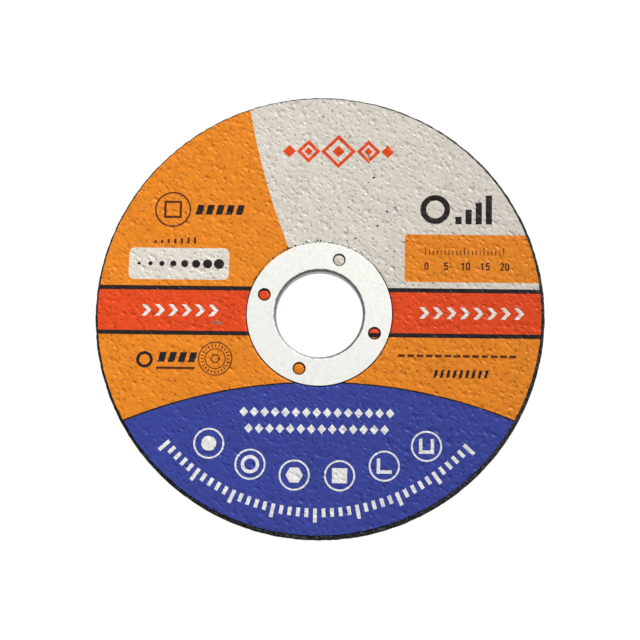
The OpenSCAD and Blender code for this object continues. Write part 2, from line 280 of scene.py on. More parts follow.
@dataclass(frozen=True)
class PrintedPaper:
    """Recycled paper with screen-printed ink, pressed over grit while the resin was wet.

    The eye sees a matt colour that is a little uneven, with dark specks where
    resin and grains came through the sheet, and painted shade darkening it towards +X.
    """

    name: str
    colour: str
    speck_colour: str
    roughness: float = 0.42
    specular: float = 0.2
    # Share of painted light and shade: the colour is lighter towards -X and darker towards +X.
    thinning: float = 0.09
    thinning_half_mm: float = 57.5
    mottle_mm: float = 7.0
    mottle: float = 0.04
    cloud_mm: float = 1.9
    cloud: float = 0.06
    fibre_mm: float = 0.45
    fibre: float = 0.06
    specks: tuple[Specks, ...] = INK_SPECKS
    dint_mm: float = 1.3
    dint_stretch: float = 1.7
    dint_turn: float = -38.0
    dint_share: float = 0.5
    dint_edge: float = 0.4
    dint_depth_mm: float = 0.1
    tooth_mm: float = 0.5
    tooth_height_mm: float = 0.1

    def material(self) -> bpy.types.Material:
        """Builds the finish as a node material."""
        made, shader, place = new_finish(self.name)
        tree = made.node_tree
        colour = self._uneven(tree, place)
        for kind in self.specks:
            colour = kind.over(tree, place, colour, self.speck_colour)
        tree.links.new(self._tooth(tree, place), shader.inputs["Normal"])
        tree.links.new(colour, shader.inputs["Base Color"])
        shader.inputs["Roughness"].default_value = self.roughness
        shader.inputs["Specular IOR Level"].default_value = self.specular
        return made

    def _tooth(self, tree: Tree, place: Socket) -> Socket:
        """Fine tooth of the paper: short dints between the grains, and its own grain.

        Args:
            tree: the material's node tree.
            place: object coordinates.

        Returns:
            The normal socket.
        """
        turned = add_node(tree, "ShaderNodeMapping", {
            "Vector": place, "Rotation": (0.0, 0.0, math.radians(self.dint_turn)),
            "Scale": (self.dint_stretch, 1.0, 1.0),
        }, vector_type="TEXTURE").outputs[0]
        distance, chance, _ = add_cells(tree, turned, self.dint_mm, flat=True)
        spared = maths(tree, "GREATER_THAN", chance, self.dint_share)
        hollow = ranged(tree, distance, (0.0, self.dint_edge), smooth=True)
        dented = add_bump(tree, maths(tree, "MAXIMUM", hollow, spared), self.dint_depth_mm)
        grain = add_noise(tree, place, self.tooth_mm, Detail=2.0, Roughness=0.6).outputs["Fac"]
        return add_bump(tree, grain, self.tooth_height_mm, Normal=dented)

    def _uneven(self, tree: Tree, place: Socket) -> Socket:
        """Ink colour with painted shade, lighter towards -X and darker towards +X, and uneven in broad
        patches and along fibres.

        Args:
            tree: the material's node tree.
            place: object coordinates.

        Returns:
            The colour socket.
        """
        across = add_node(tree, "ShaderNodeSeparateXYZ", {"Vector": place}).outputs["X"]
        # Painted shade: lighter towards -X, darker towards +X.
        half = self.thinning_half_mm * MM
        patterns = [(across, -half, half, -self.thinning)]
        grains = (self.mottle_mm, self.mottle), (self.cloud_mm, self.cloud), (self.fibre_mm, self.fibre)
        for size_mm, depth in grains:
            noise = add_noise(tree, place, size_mm, Detail=3.0)
            patterns.append((noise.outputs["Fac"], NOISE_LOW, NOISE_HIGH, depth))
        colour: Any = linear(self.colour)
        for value, low, high, depth in patterns:
            shade = ranged(tree, value, (low, high), (1.0 - depth, 1.0 + depth))
            colour = mix_colours(tree, 1.0, colour, shade, "MULTIPLY")
        return colour


@dataclass(frozen=True)
class TinPlate:
    """Tin-plated sheet steel, stamped and left as it came off the press.

    The eye sees a pale satin metal with soft low dents and faint rub marks.
    """

    name: str = "stamped_tinplate"
    colour: str = "F6F7F2"
    shade: str = "EBECE7"
    roughness: float = 0.72
    roughness_play: float = 0.05
    nicks: tuple[Specks, ...] = NICKS
    nick_colour: str = "6E6C6A"
    dent_mm: float = 2.4
    dent_height_mm: float = 0.005
    rub_mm: float = 0.7
    rub_range: Point = (0.4, 0.8)

    def material(self) -> bpy.types.Material:
        """Builds the finish as a node material."""
        made, shader, place = new_finish(self.name)
        tree = made.node_tree
        dents = add_noise(tree, place, self.dent_mm, Detail=3.0, Roughness=0.55).outputs["Fac"]
        rubs = add_noise(tree, place, self.rub_mm, Detail=3.0).outputs["Fac"]
        tint = ranged(tree, rubs, self.rub_range)
        colour = mix_colours(tree, tint, linear(self.colour), linear(self.shade))
        for kind in self.nicks:
            colour = kind.over(tree, place, colour, self.nick_colour)
        smoother, rougher = self.roughness - self.roughness_play, self.roughness + self.roughness_play
        sheen = ranged(tree, dents, (NOISE_LOW, NOISE_HIGH), (smoother, rougher))
        tree.links.new(colour, shader.inputs["Base Color"])
        tree.links.new(sheen, shader.inputs["Roughness"])
        tree.links.new(add_bump(tree, dents, self.dent_height_mm), shader.inputs["Normal"])
        shader.inputs["Metallic"].default_value = 1.0
        return made


@dataclass(frozen=True)
class BondedGrit:
    """Aluminium oxide grains in dark phenolic resin, pressed and baked.

    The eye sees near-black grains, each a little lighter or darker than the
    next, with a dull broken surface.
    """

    name: str = "resin_bonded_grit"
    resin: str = "0D0D0E"
    grain: str = "4C4C4E"
    grain_mm: float = 0.42
    pale_share: float = 0.45
    grain_height_mm: float = 0.09
    roughness: float = 0.78
    specular: float = 0.3
    sharpness: float = 0.8

    def material(self) -> bpy.types.Material:
        """Builds the finish as a node material."""
        made, shader, place = new_finish(self.name)
        tree = made.node_tree
        distance, tone, _ = add_cells(tree, place, self.grain_mm)
        pale = ranged(tree, tone, (1.0 - self.pale_share, 1.0))
        colour = mix_colours(tree, pale, linear(self.resin), linear(self.grain))
        bump = add_bump(tree, distance, self.grain_height_mm, self.sharpness)
        tree.links.new(colour, shader.inputs["Base Color"])
        tree.links.new(bump, shader.inputs["Normal"])
        shader.inputs["Roughness"].default_value = self.roughness
        shader.inputs["Specular IOR Level"].default_value = self.specular
        return made


INK_FINISHES: dict[Ink, PrintedPaper] = {
    Ink.PAPER: PrintedPaper("grey_recycled_paper", "D8D1C6", "3A322C", cloud=0.02, specks=BARE_SPECKS),
    Ink.ORANGE: PrintedPaper("orange_screen_ink", "E6851C", "5A2E10"),
    Ink.RED: PrintedPaper("red_screen_ink", "E14815", "701C0E"),
    Ink.BLUE: PrintedPaper("blue_screen_ink", "364297", "1A1E40"),
    Ink.BLACK: PrintedPaper("black_screen_ink", "211A1B", "140F0F"),
    Ink.WHITE: PrintedPaper("white_screen_ink", "E6E6E2", "8A8C99"),
    Ink.FIBRE: PrintedPaper("torn_paper_fibre", "F6F5F0", "77726A"),
    Ink.SCUFF: PrintedPaper("rubbed_grey_ink", "7C7468", "4A4038"),
    Ink.BROWN: PrintedPaper("black_ink_thin_over_orange", "54290F", "2A1608"),
    Ink.PALE: PrintedPaper("pale_panel_paper", "E0D9CE", "3A322C", cloud=0.02, specks=BARE_SPECKS),
}


@dataclass(frozen=True)
class WheelSizes:
    """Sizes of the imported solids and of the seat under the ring's flange, in millimetres."""

    wheel_r: float
    disc_top: float
    label_r: float
    face_z: float
    ring_r: float
    ring_top: float
    ring_foot: float
    bore_r: float
    seat_z: float = 2.74
    seat_gap: float = 0.15

    @property
    def seat_foot(self) -> float:
        """Radius where the wall of the seat under the flange begins."""
        return self.ring_r + self.seat_gap

    @property
    def seat_drop(self) -> float:
        """Depth of the seat, whose wall slopes as far out as it rises."""
        return self.face_z - self.seat_z

    @classmethod
    def from_frame(cls, frame: dict[str, Any], label_t: float) -> "WheelSizes":
        """Reads the sizes that the other pieces are built from.

        Args:
            label_t: thickness of the label's paper.

        Returns:
            The wheel's sizes.
        """
        _, disc_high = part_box("abrasive_disc")
        _, label_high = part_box("label")
        ring_low, ring_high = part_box("arbor_ring")
        bore = next(m for m in frame["record"]["mounts"] if m["name"] == "arbor_bore")
        return cls(
            wheel_r=disc_high.x / MM,
            disc_top=disc_high.z / MM,
            label_r=label_high.y / MM,
            face_z=disc_high.z / MM + label_t,
            ring_r=ring_high.x / MM,
            ring_top=ring_high.z / MM,
            ring_foot=ring_low.z / MM,
            bore_r=bore["dims"]["r_mm"],
        )


@dataclass(frozen=True)
class KeyHoles:
    """The four keying holes in the ring's flange, in millimetres and degrees."""

    circle_r: float = 15.0
    first: float = 71.0
    count: int = 4
    r: float = 1.6

    def centres(self) -> list[Point]:
        """Middle of each hole."""
        angles = [math.radians(self.first + 360 * i / self.count) for i in range(self.count)]
        return [(self.circle_r * math.cos(a), self.circle_r * math.sin(a)) for a in angles]


def circle(cx: float, cy: float, r: float, points: int = 48) -> Loop:
    """Points round a circle, anticlockwise."""
    a = np.arange(points) * FULL_TURN / points
    return np.stack([cx + r * np.cos(a), cy + r * np.sin(a)], 1)


def arc(cx: float, cy: float, r: float, start: float, end: float, points: int = 24) -> Loop:
    """Points along an arc, with the angles in degrees."""
    a = np.radians(np.linspace(start, end, points))
    return np.stack([cx + r * np.cos(a), cy + r * np.sin(a)], 1)


def rectangle(x0: float, y0: float, x1: float, y1: float) -> Loop:
    """Corners of an upright rectangle."""
    return np.array([(x0, y0), (x1, y0), (x1, y1), (x0, y1)], float)


def rounded(x0: float, y0: float, x1: float, y1: float, r: float) -> Loop:
    """Outline of a rectangle with round corners."""
    return np.concatenate([
        arc(x1 - r, y0 + r, r, -90, 0, 7),
        arc(x1 - r, y1 - r, r, 0, 90, 7),
        arc(x0 + r, y1 - r, r, 90, 180, 7),
        arc(x0 + r, y0 + r, r, 180, 270, 7),
    ])


def block(w: float, h: float, lean: float = 0.0) -> Loop:
    """Corners of a block about the origin, whose top leans to the right."""
    x, y, shift = w / 2, h / 2, lean / 2
    return np.array([(-x - shift, -y), (x - shift, -y), (x + shift, y), (shift - x, y)])


def lozenge(w: float, h: float) -> Loop:
    """Corners of a lozenge about the origin."""
    return np.array([(w / 2, 0), (0, h / 2), (-w / 2, 0), (0, -h / 2)])


def chevron(w: float, h: float, lead: float) -> Loop:
    """Corners of an arrow head about the origin, whose tip leads its ends along +X."""
    x, y = (w + lead) / 2, h / 2
    return np.array([(-x, -y), (w - x, -y), (x, 0), (w - x, y), (-x, y), (x - w, 0)])


def tick(start: float, length: float, width: float, angle: float) -> Loop:
    """Corners of a block that points away from the origin, from a distance, at an angle in degrees."""
    a = math.radians(angle)
    out = np.array([math.cos(a), math.sin(a)])
    side = np.array([-out[1], out[0]]) * width / 2
    near, far = out * start, out * (start + length)
    return np.array([near - side, far - side, far + side, near + side])


def stock_sections(w: float, wall: float) -> list[list[Loop]]:
    """Sections of a bar, tube, hexagon, square, angle and channel, all of one width about the origin."""
    x, inner = w / 2, w / 2 - wall
    angle = [(-x, x), (-x, -x), (x, -x), (x, -inner), (-inner, -inner), (-inner, x)]
    channel = [(-x, x), (-x, -x), (x, -x), (x, x), (inner, x), (inner, -inner), (-inner, -inner), (-inner, x)]
    return [
        [circle(0, 0, x)],
        [circle(0, 0, x + wall / 2), circle(0, 0, x - wall / 2)],
        [circle(0, 0, x / math.cos(math.pi / 6), 6)],
        [block(w, w)],
        [np.array(angle)],
        [np.array(channel)],
    ]


def stroke(path: Loop, width: float) -> Loop:
    """Outline of a pen stroke along a path, with square ends and mitred corners.

    Args:
        path: the points of its middle line.
        width: the pen's width.

    Returns:
        The outline.
    """
    step = np.diff(path, axis=0)
    step /= np.linalg.norm(step, axis=1)[:, None]
    normal = np.stack([-step[:, 1], step[:, 0]], 1)
    before = np.vstack([normal[:1], normal])
    after = np.vstack([normal, normal[-1:]])
    mitre = before + after
    mitre /= np.sum(mitre * before, axis=1)[:, None]
    return np.concatenate([path + mitre * width / 2, (path - mitre * width / 2)[::-1]])


def numeral(digit: str, pen: float) -> list[list[Loop]]:
    """Plain upright numeral, one unit tall.

    Args:
        digit: one of 0, 1, 2 and 5.
        pen: the pen's width as a share of the height.

    Returns:
        Filled shapes, each a list of outlines.
    """
    half = DIGIT_W / 2
    if digit == "0":
        hole = half - pen
        outer = np.concatenate([arc(half, 1 - half, half, 0, 180, 13), arc(half, half, half, 180, 360, 13)])
        inner = np.concatenate([arc(half, 1 - half, hole, 0, 180, 13), arc(half, half, hole, 180, 360, 13)])
        return [[outer, inner]]
    if digit == "1":
        flag_x, flag_y = 0.04, 0.84
        bar = rectangle(half - pen / 2, 0, half + pen / 2, 1)
        flag = np.array([(half, 1), (half, 1 - 1.2 * pen), (flag_x, flag_y - pen), (flag_x, flag_y)])
        return [[bar], [flag]]
    if digit == "2":
        bow = arc(half, 1 - half, half - pen / 2, 170, -35, 15)
        return [[stroke(np.vstack([bow, [(pen * 0.6, pen / 2)]]), pen)], [rectangle(0, 0, DIGIT_W, pen)]]
    neck_x, neck_foot, flag_end = 0.07, 0.44, 0.52
    bowl_x, bowl_r = 0.25, 0.33
    bowl = arc(bowl_x, bowl_r, bowl_r - pen / 2, 130, -145, 19)
    neck = stroke(np.array([(neck_x + pen / 2, 1 - pen / 2), (neck_x, neck_foot)]), pen)
    return [[stroke(bowl, pen)], [neck], [rectangle(neck_x, 1 - pen, flag_end, 1)]]


@dataclass(frozen=True)
class PrintShape:
    """One printed patch: its ink and its outlines, filled by the odd and even rule."""

    ink: Ink
    loops: tuple[Loop, ...]

    def moved(self, by: np.ndarray) -> "PrintShape":
        """The same patch at another place."""
        return PrintShape(self.ink, tuple(loop + by for loop in self.loops))


@dataclass
class LabelPrint:
    """The label's print, in the order that it hides what is under it. Millimetres and degrees.

    The fields and simple shapes follow the part's solids, with moves of under
    two millimetres that were fitted to the photo, and the finer print is drawn
    here alone. The print lies off the wheel's centre together with its paper.
    """

    label_r: float
    ring_r: float
    keys: Sequence[Point]
    off_centre: Point
    far: float = 62.0
    band_w: float = 10.6
    band_rise: float = 0.2
    rule_w: float = 1.12
    segment_r: float = 130.0
    segment_x: float = 1.85
    segment_drop: float = 18.25
    keyline_w: float = 0.4
    sweep_r: float = 188.0
    sweep_centre: Point = (166.0, 88.0)
    panel_gap: float = 1.63
    scale_panel_x: float = 21.85
    scale_panel_h: float = 12.5
    scale_panel_r: float = 0.8
    dot_panel_x: float = -36.25
    dot_panel_w: float = 25.9
    dot_panel_h: float = 8.3
    dot_panel_r: float = 1.4
    tear_count: int = 150
    tear_bearing: Point = (90.0, 24.0)
    tear_gap: float = 0.2
    tear_spread: float = 0.28
    tear_size: Point = (0.09, 0.24)
    fibre_share: float = 0.78
    bare_from: float = 24.0
    bare_until: float = 114.0
    # Painted shadow: a dark arc along the ring's edge, all round but the top, which faces the light.
    seam_from: float = 140.0
    seam_until: float = 400.0
    seam_gap: float = 0.24
    seam_w: float = 0.44
    seed: int = 7
    shapes: list[PrintShape] = field(default_factory=list)

    def draw(self) -> list[PrintShape]:
        """Draws the whole label and returns its shapes."""
        self._fields()
        self._upper_left()
        self._upper_right()
        self._band()
        self._lower_orange()
        self._lower_blue()
        move = np.array(self.off_centre)
        self.shapes = [s.moved(move) for s in self.shapes]
        self._wear()
        return self.shapes

    @property
    def panel_foot(self) -> float:
        """Height of the panels' lower edges."""
        return self.band_rise + self.band_w / 2 + self.rule_w + self.panel_gap

    @property
    def rule_foot(self) -> float:
        """Height of the lower rule's lower edge."""
        return self.band_rise - self.band_w / 2 - self.rule_w

    def _add(self, ink: Ink, *loops: Loop, at: Point = (0.0, 0.0)) -> None:
        """Adds one patch of ink, with its outlines moved to a place."""
        self.shapes.append(PrintShape(ink, loops).moved(np.array(at)))

    def _row(self, ink: Ink, outline: Loop, at: Point, pitch: float, count: int) -> None:
        """Adds copies of an outline side by side from a place, to the left if the pitch is negative."""
        for i in range(count):
            self._add(ink, outline, at=(at[0] + i * pitch, at[1]))

    def _ring(self, ink: Ink, at: Point, d: float, line: float) -> None:
        """Adds a ring, measured to the middle of its line."""
        self._add(ink, circle(0, 0, (d + line) / 2), circle(0, 0, (d - line) / 2), at=at)

    def _bars(self, ink: Ink, at: Point, w: float, heights: Sequence[float], pitch: float) -> None:
        """Adds bars side by side on one line, each with its own height."""
        for i, height in enumerate(heights):
            self._add(ink, rectangle(-w / 2, 0.0, w / 2, height), at=(at[0] + i * pitch, at[1]))

    def _leaning_blocks(self, at: Point, count: int) -> None:
        """Adds leaning black blocks from a place to the left."""
        self._row(Ink.BLACK, block(w=1.7, h=2.6, lean=0.7), at, pitch=-2.6, count=count)

    def _number(self, text: str, middle: float, foot: float, height: float, pitch: float, pen: float) -> None:
        """Adds a plain black number.

        Args:
            text: its digits.
            middle: x of its middle.
            foot: height of its foot.
            height: height of a digit.
            pitch: distance from one digit to the next.
            pen: width of the strokes as a share of the height.
        """
        start = middle - (DIGIT_W + pitch * (len(text) - 1)) / 2
        for i, digit in enumerate(text):
            for loops in numeral(digit, pen):
                self._add(Ink.BLACK, *(loop * height for loop in loops), at=(start + i * pitch, foot))

    def _fields(self) -> None:
        """Adds the fields of colour that the label is divided into."""
        far, foot = self.far, self.panel_foot
        cx, cy = self.sweep_centre
        y = np.linspace(far, 0, 60)
        edge = np.stack([cx - np.sqrt(self.sweep_r ** 2 - (y - cy) ** 2), y], 1)
        self._add(Ink.ORANGE, np.vstack([edge, [(-far, 0), (-far, far)]]))
        left, right = self.dot_panel_x - self.dot_panel_w / 2, self.dot_panel_x + self.dot_panel_w / 2
        self._add(Ink.PALE, rounded(left, foot, right, foot + self.dot_panel_h, self.dot_panel_r))
        scale_top = foot + self.scale_panel_h
        self._add(Ink.ORANGE, rounded(self.scale_panel_x, foot, far, scale_top, self.scale_panel_r))
        self._add(Ink.ORANGE, rectangle(-far, -far, far, 0))
        for ink, half in ((Ink.BLACK, self.band_w / 2 + self.rule_w), (Ink.RED, self.band_w / 2)):
            self._add(ink, rectangle(-far, self.band_rise - half, far, self.band_rise + half))
        x = np.linspace(-far, far, 121)
        for ink, r in ((Ink.BLACK, self.segment_r + self.keyline_w), (Ink.BLUE, self.segment_r)):
            crest = np.sqrt(r ** 2 - (x - self.segment_x) ** 2) - self.segment_r - self.segment_drop
            self._add(ink, np.vstack([np.stack([x, crest], 1), [(far, -far), (-far, -far)]]))

    def _upper_left(self) -> None:
        """Adds a square tube in a ring, leaning blocks, short bars, and dots that grow like grit sizes."""
        panel_top = self.panel_foot + self.dot_panel_h
        badge = (-38.25, panel_top + 10.2)
        self._ring(Ink.BROWN, badge, d=9.0, line=0.42)
        self._add(Ink.BROWN, block(w=4.6, h=4.6), block(w=3.4, h=3.4), at=badge)
        self._leaning_blocks((-20.8, badge[1]), count=5)
        self._bars(Ink.BROWN, (-42.5, panel_top + 1.2), w=0.6, heights=0.8 + 0.15 * np.arange(7), pitch=1.7)
        count, pitch, smallest_r, growth = 8, 2.95, 0.42, 0.13
        for i in range(count):
            x = self.dot_panel_x + (i - (count - 1) / 2) * pitch
            self._add(Ink.BLACK, circle(x, panel_top - self.dot_panel_h / 2, smallest_r + growth * i, 24))

    def _upper_right(self) -> None:
        """Adds a ring with rising bars, a millimetre scale on its panel and a red ornament."""
        mark_x, mark_y = 29.6, self.panel_foot + self.scale_panel_h + 2.8
        ring_d, line = 6.2, 1.5
        self._ring(Ink.BLACK, (mark_x, mark_y + (ring_d + line) / 2), ring_d, line)
        bars_at = (mark_x + 6.0, mark_y)
        self._bars(Ink.BLACK, bars_at, w=1.6, heights=2.0 + 1.9 * np.arange(4), pitch=2.6)
        scale_x, numbers_y, ticks_y = 27.2, self.panel_foot + 3.2, self.panel_foot + 7.2
        length, numbered, short, tall = 20, 5, 1.2, 2.0
        heights = [short if i % numbered else tall for i in range(length + 1)]
        self._bars(Ink.BROWN, (scale_x, ticks_y), w=0.25, heights=heights, pitch=1.0)
        for i in range(0, length + 1, numbered):
            self._number(str(i), scale_x + i, numbers_y, height=2.0, pitch=1.25, pen=0.17)
        self._ornament(at=(4.4, self.label_r - 14.2))

    def _ornament(self, at: Point) -> None:
        """Adds five red lozenges with cores, which grow smaller to both sides."""
        middle_d, loss, gap = 9.0, 2.8, 0.2
        line, core = 1.2, 0.36
        for side in range(-2, 3):
            step = abs(side)
            size = middle_d - step * loss
            reach = step * (middle_d + gap) - loss * step ** 2 / 2
            place = (at[0] + math.copysign(reach, side), at[1])
            self._add(Ink.RED, lozenge(size, size), lozenge(size - 2 * line, size - 2 * line), at=place)
            self._add(Ink.RED, lozenge(core * size, core * size), at=place)

    def _band(self) -> None:
        """Adds a row of white arrow heads on each side of the ring."""
        head, first_x, pitch = chevron(w=1.15, h=3.0, lead=1.4), 27.0, 3.45
        for side, count in ((-1, 6), (1, 8)):
            self._row(Ink.WHITE, head, (side * first_x, self.band_rise), pitch=side * pitch, count=count)

    def _lower_orange(self) -> None:
        """Adds leaning blocks between a ring and a ticked stamp, and a line of dashes over bars."""
        foot = self.rule_foot
        row_y = foot - 5.78
        self._leaning_blocks((-32.0, row_y), count=4)
        self._ring(Ink.BLACK, (-44.3, row_y - 0.7), d=3.5, line=0.8)
        self._add(Ink.BROWN, block(w=9.8, h=0.6), at=(-36.3, row_y - 2.8))
        self._stamp((-26.2, row_y - 0.3))
        self._row(Ink.BROWN, block(w=1.7, h=0.7), (21.3, foot - 4.68), pitch=2.35, count=13)
        self._row(Ink.BLACK, block(w=0.75, h=2.0, lean=0.5), (30.0, foot - 9.28), pitch=1.6, count=9)

    def _stamp(self, at: Point) -> None:
        """Adds a round stamp: two rings with ticks between them, and a hexagon in the middle."""
        self._ring(Ink.BROWN, at, d=8.5, line=0.28)
        self._ring(Ink.BROWN, at, d=5.1, line=0.25)
        self._add(Ink.BROWN, circle(0, 0, 1.3, 6), circle(0, 0, 0.95, 6), at=at)
        for i in range(24):
            self._add(Ink.BROWN, tick(start=3.0, length=0.75, width=0.28, angle=15 * i), at=at)

    def _lower_blue(self) -> None:
        """Adds rows of lozenges, sections of metal stock in rings, and ticks along the rim."""
        pitch = 2.65
        for count, drop in ((15, 7.55), (14, 11.75)):
            start = (-(count - 1) * pitch / 2, -self.segment_drop - drop)
            self._row(Ink.WHITE, lozenge(w=2.2, h=2.5), start, pitch, count)
        down = 270
        sections = stock_sections(w=3.8, wall=0.85)
        middle, step_angle = (len(sections) - 1) / 2, 15.6
        middle_x, middle_r, flatter = 0.3, self.label_r - 14.8, 0.27
        for i, section in enumerate(sections):
            a = math.radians(down + step_angle * (i - middle))
            reach = middle_r + flatter * (i - middle) ** 2
            at = (middle_x + reach * math.cos(a), reach * math.sin(a))
            self._ring(Ink.WHITE, at, d=7.4, line=0.45)
            self._add(Ink.WHITE, *section, at=at)
        each_side, tick_angle = 20, 2.4
        for i in range(-each_side, each_side + 1):
            length = 2.2 if i % 5 else 3.5
            self._add(Ink.WHITE, tick(self.label_r - 6.8, length, 0.95, down + tick_angle * i))

    def _wear(self) -> None:
        """Adds torn paper beside the ring, a painted shadow along the ring's edge, painted shade round the
        keying holes, rub marks on the band and loose dark grains.
        """
        rng = np.random.default_rng(self.seed)
        for _ in range(self.tear_count):
            a = math.radians(rng.normal(*self.tear_bearing))
            r = self.ring_r + self.tear_gap + abs(rng.normal(0, self.tear_spread))
            ink = Ink.FIBRE if rng.random() < self.fibre_share else Ink.BLACK
            size = rng.uniform(*self.tear_size)
            if ink is Ink.FIBRE and not self.bare_from < math.degrees(a) < self.bare_until:
                ink = Ink.SCUFF
            self._blob(rng, ink, r * math.cos(a), r * math.sin(a), size)
        # Painted shadow of the ring on the label, along its edge all round but the top.
        painted_shadow, points = self.ring_r + self.seam_gap, 160
        outer = arc(0, 0, painted_shadow, self.seam_from, self.seam_until, points)
        inner = arc(0, 0, painted_shadow - self.seam_w, self.seam_until, self.seam_from, points)
        self._add(Ink.BLACK, np.vstack([outer, inner]))
        # Painted shade: dark rings round the keying holes, under the edges of the ring's holes.
        for ink, at in zip((Ink.SCUFF, Ink.BLACK, Ink.BROWN, Ink.BLACK), self.keys):
            self._add(ink, circle(0, 0, r=1.8, points=32), circle(0, 0, r=1.3, points=32), at=at)
        for x, y, r in ((-26.6, -2.5, 0.45), (-25.4, -2.7, 0.35), (-24.6, -2.4, 0.2)):
            self._blob(rng, Ink.SCUFF, x, y, r)
        for x, y, r in ((14.7, 23.3, 0.32), (17.0, 27.1, 0.26), (9.0, 19.9, 0.3), (13.6, 36.1, 0.3)):
            self._blob(rng, Ink.BLACK, x, y, r)

    def _blob(self, rng: np.random.Generator, ink: Ink, cx: float, cy: float, r: float) -> None:
        """Adds a small ragged patch.

        Args:
            rng: the print's own random source.
            ink: its ink.
            cx: its middle.
            cy: its middle.
            r: its mean radius.
        """
        points, wider = 7, 1.3
        a = (np.arange(points) + rng.uniform(-0.3, 0.3, points)) * FULL_TURN / points
        reach = r * rng.uniform(0.55, 1.35, points)
        self._add(ink, np.stack([cx + wider * reach * np.cos(a), cy + reach * np.sin(a)], 1))


@dataclass(frozen=True)
class DentKind:
    """How one kind of dent varies: its depth and scale against the usual ones, and its scatter."""

    depth: Point
    scale: Point
    scatter: float = 0.0


@dataclass
class PressedRelief:
    """Height of the paper over the glass cloth and grit that it was pressed against.

    The cloth's crossings leave rows of small dents, and the grit a finer tooth.
    """

    span: float = 120.0
    step: float = 0.1
    warp: Point = (4.19, 46.0)
    weft: Point = (5.2, -34.5)
    twin: Point = (2.0, -0.4)
    crossing_dent: DentKind = DentKind(depth=(0.35, 1.15), scale=(0.85, 1.2), scatter=0.28)
    twin_dent: DentKind = DentKind(depth=(0.1, 0.75), scale=(0.7, 1.05), scatter=0.25)
    stray_dent: DentKind = DentKind(depth=(0.1, 0.5), scale=(0.45, 0.8))
    dent_depth: float = 0.24
    dent_along: float = 0.42
    dent_across: float = 0.27
    dent_angle: float = -38.0
    dent_angle_play: float = 14.0
    stray_per_cell: float = 2.0
    swell: float = 0.06
    waves: tuple[tuple[float, float], ...] = ((5.0, 0.012), (1.6, 0.014), (0.95, 0.016))
    seed: int = 11
    heights: np.ndarray = field(init=False)

    def __post_init__(self) -> None:
        """Works the whole height field out once."""
        rng = np.random.default_rng(self.seed)
        side = int(self.span / self.step)
        self.heights = np.full((side, side), self.swell)
        for size, depth in self.waves:
            self.heights += depth * self._noise(rng, side, size)
        for x, y, depth, scale in self._dents(rng):
            self._press(x, y, depth, scale, rng.normal(self.dent_angle, self.dent_angle_play))

    def _noise(self, rng: np.random.Generator, side: int, size: float) -> np.ndarray:
        """Smooth noise with bumps of about one size.

        Args:
            rng: the relief's own random source.
            side: points along each side of the field.
            size: width of a bump in millimetres.

        Returns:
            The noise, with a spread of one.
        """
        f = np.fft.fftfreq(side, self.step)
        radius = np.hypot(f[:, None], f[None, :])
        peak, width = 0.6, 0.35
        band = np.exp(-((radius * size - peak) / width) ** 2)
        noise = np.fft.ifft2(np.fft.fft2(rng.normal(size=(side, side))) * band).real
        return noise / noise.std()

    def _dents(self, rng: np.random.Generator) -> Iterable[Dent]:
        """Place, depth and scale of each dent: pairs at the cloth's crossings, and strays."""
        (warp_l, warp_a), (weft_l, weft_a) = self.warp, self.weft
        warp = warp_l * np.array([math.cos(math.radians(warp_a)), math.sin(math.radians(warp_a))])
        weft = weft_l * np.array([math.cos(math.radians(weft_a)), math.sin(math.radians(weft_a))])
        count = int(self.span / min(warp_l, weft_l))
        for i in range(-count, count + 1):
            for j in range(-count, count + 1):
                cell = i * warp + j * weft
                at = cell + rng.normal(0, self.crossing_dent.scatter, 2)
                yield self._sized(rng, at, self.crossing_dent)
                at = at + np.array(self.twin) + rng.normal(0, self.twin_dent.scatter, 2)
                yield self._sized(rng, at, self.twin_dent)
                for _ in range(rng.poisson(self.stray_per_cell)):
                    stray = cell + rng.uniform(0, 1) * warp + rng.uniform(0, 1) * weft
                    yield self._sized(rng, stray, self.stray_dent)

    def _sized(self, rng: np.random.Generator, at: np.ndarray, kind: DentKind) -> Dent:
        """Place, depth and scale of one dent of a kind."""
        return at[0], at[1], self.dent_depth * rng.uniform(*kind.depth), rng.uniform(*kind.scale)

    def _press(self, x: float, y: float, depth: float, scale: float, angle: float) -> None:
        """Presses one oval dent into the field.

        Args:
            x: its middle.
            y: its middle.
            depth: its depth.
            scale: its size against the usual one.
            angle: direction of its long side in degrees.
        """
        reach = 3 * self.dent_along * scale
        half = int(reach / self.step)
        ci, cj = round((y + self.span / 2) / self.step), round((x + self.span / 2) / self.step)
        side = self.heights.shape[0]
        if not (half < ci < side - half and half < cj < side - half):
            return
        v, u = np.mgrid[-half:half + 1, -half:half + 1] * self.step
        c, s = math.cos(math.radians(angle)), math.sin(math.radians(angle))
        along = (u * c + v * s) / (self.dent_along * scale)
        across = (-u * s + v * c) / (self.dent_across * scale)
        dent = depth * np.exp(-0.5 * (along ** 2 + across ** 2))
        self.heights[ci - half:ci + half + 1, cj - half:cj + half + 1] -= dent

    def at(self, points: np.ndarray) -> np.ndarray:
        """Height at each point.

        Args:
            points: x and y in millimetres.

        Returns:
            Heights over the flat paper.
        """
        g = np.clip((points + self.span / 2) / self.step, 0, self.heights.shape[0] - 2)
        j, i = np.floor(g).astype(int).T
        u, v = (g - np.floor(g)).T
        h = self.heights
        low = h[i, j] * (1 - u) + h[i, j + 1] * u
        high = h[i + 1, j] * (1 - u) + h[i + 1, j + 1] * u
        return low * (1 - v) + high * v


def resample(loop: Loop, spacing: float) -> Loop:
    """Points along a closed outline, no further apart than a spacing, with its corners kept."""
    found = []
    for a, b in zip(loop, np.roll(loop, -1, axis=0)):
        parts = max(1, math.ceil(np.linalg.norm(b - a) / spacing))
        found.append(a + (b - a) * (np.arange(parts) / parts)[:, None])
    return np.concatenate(found)


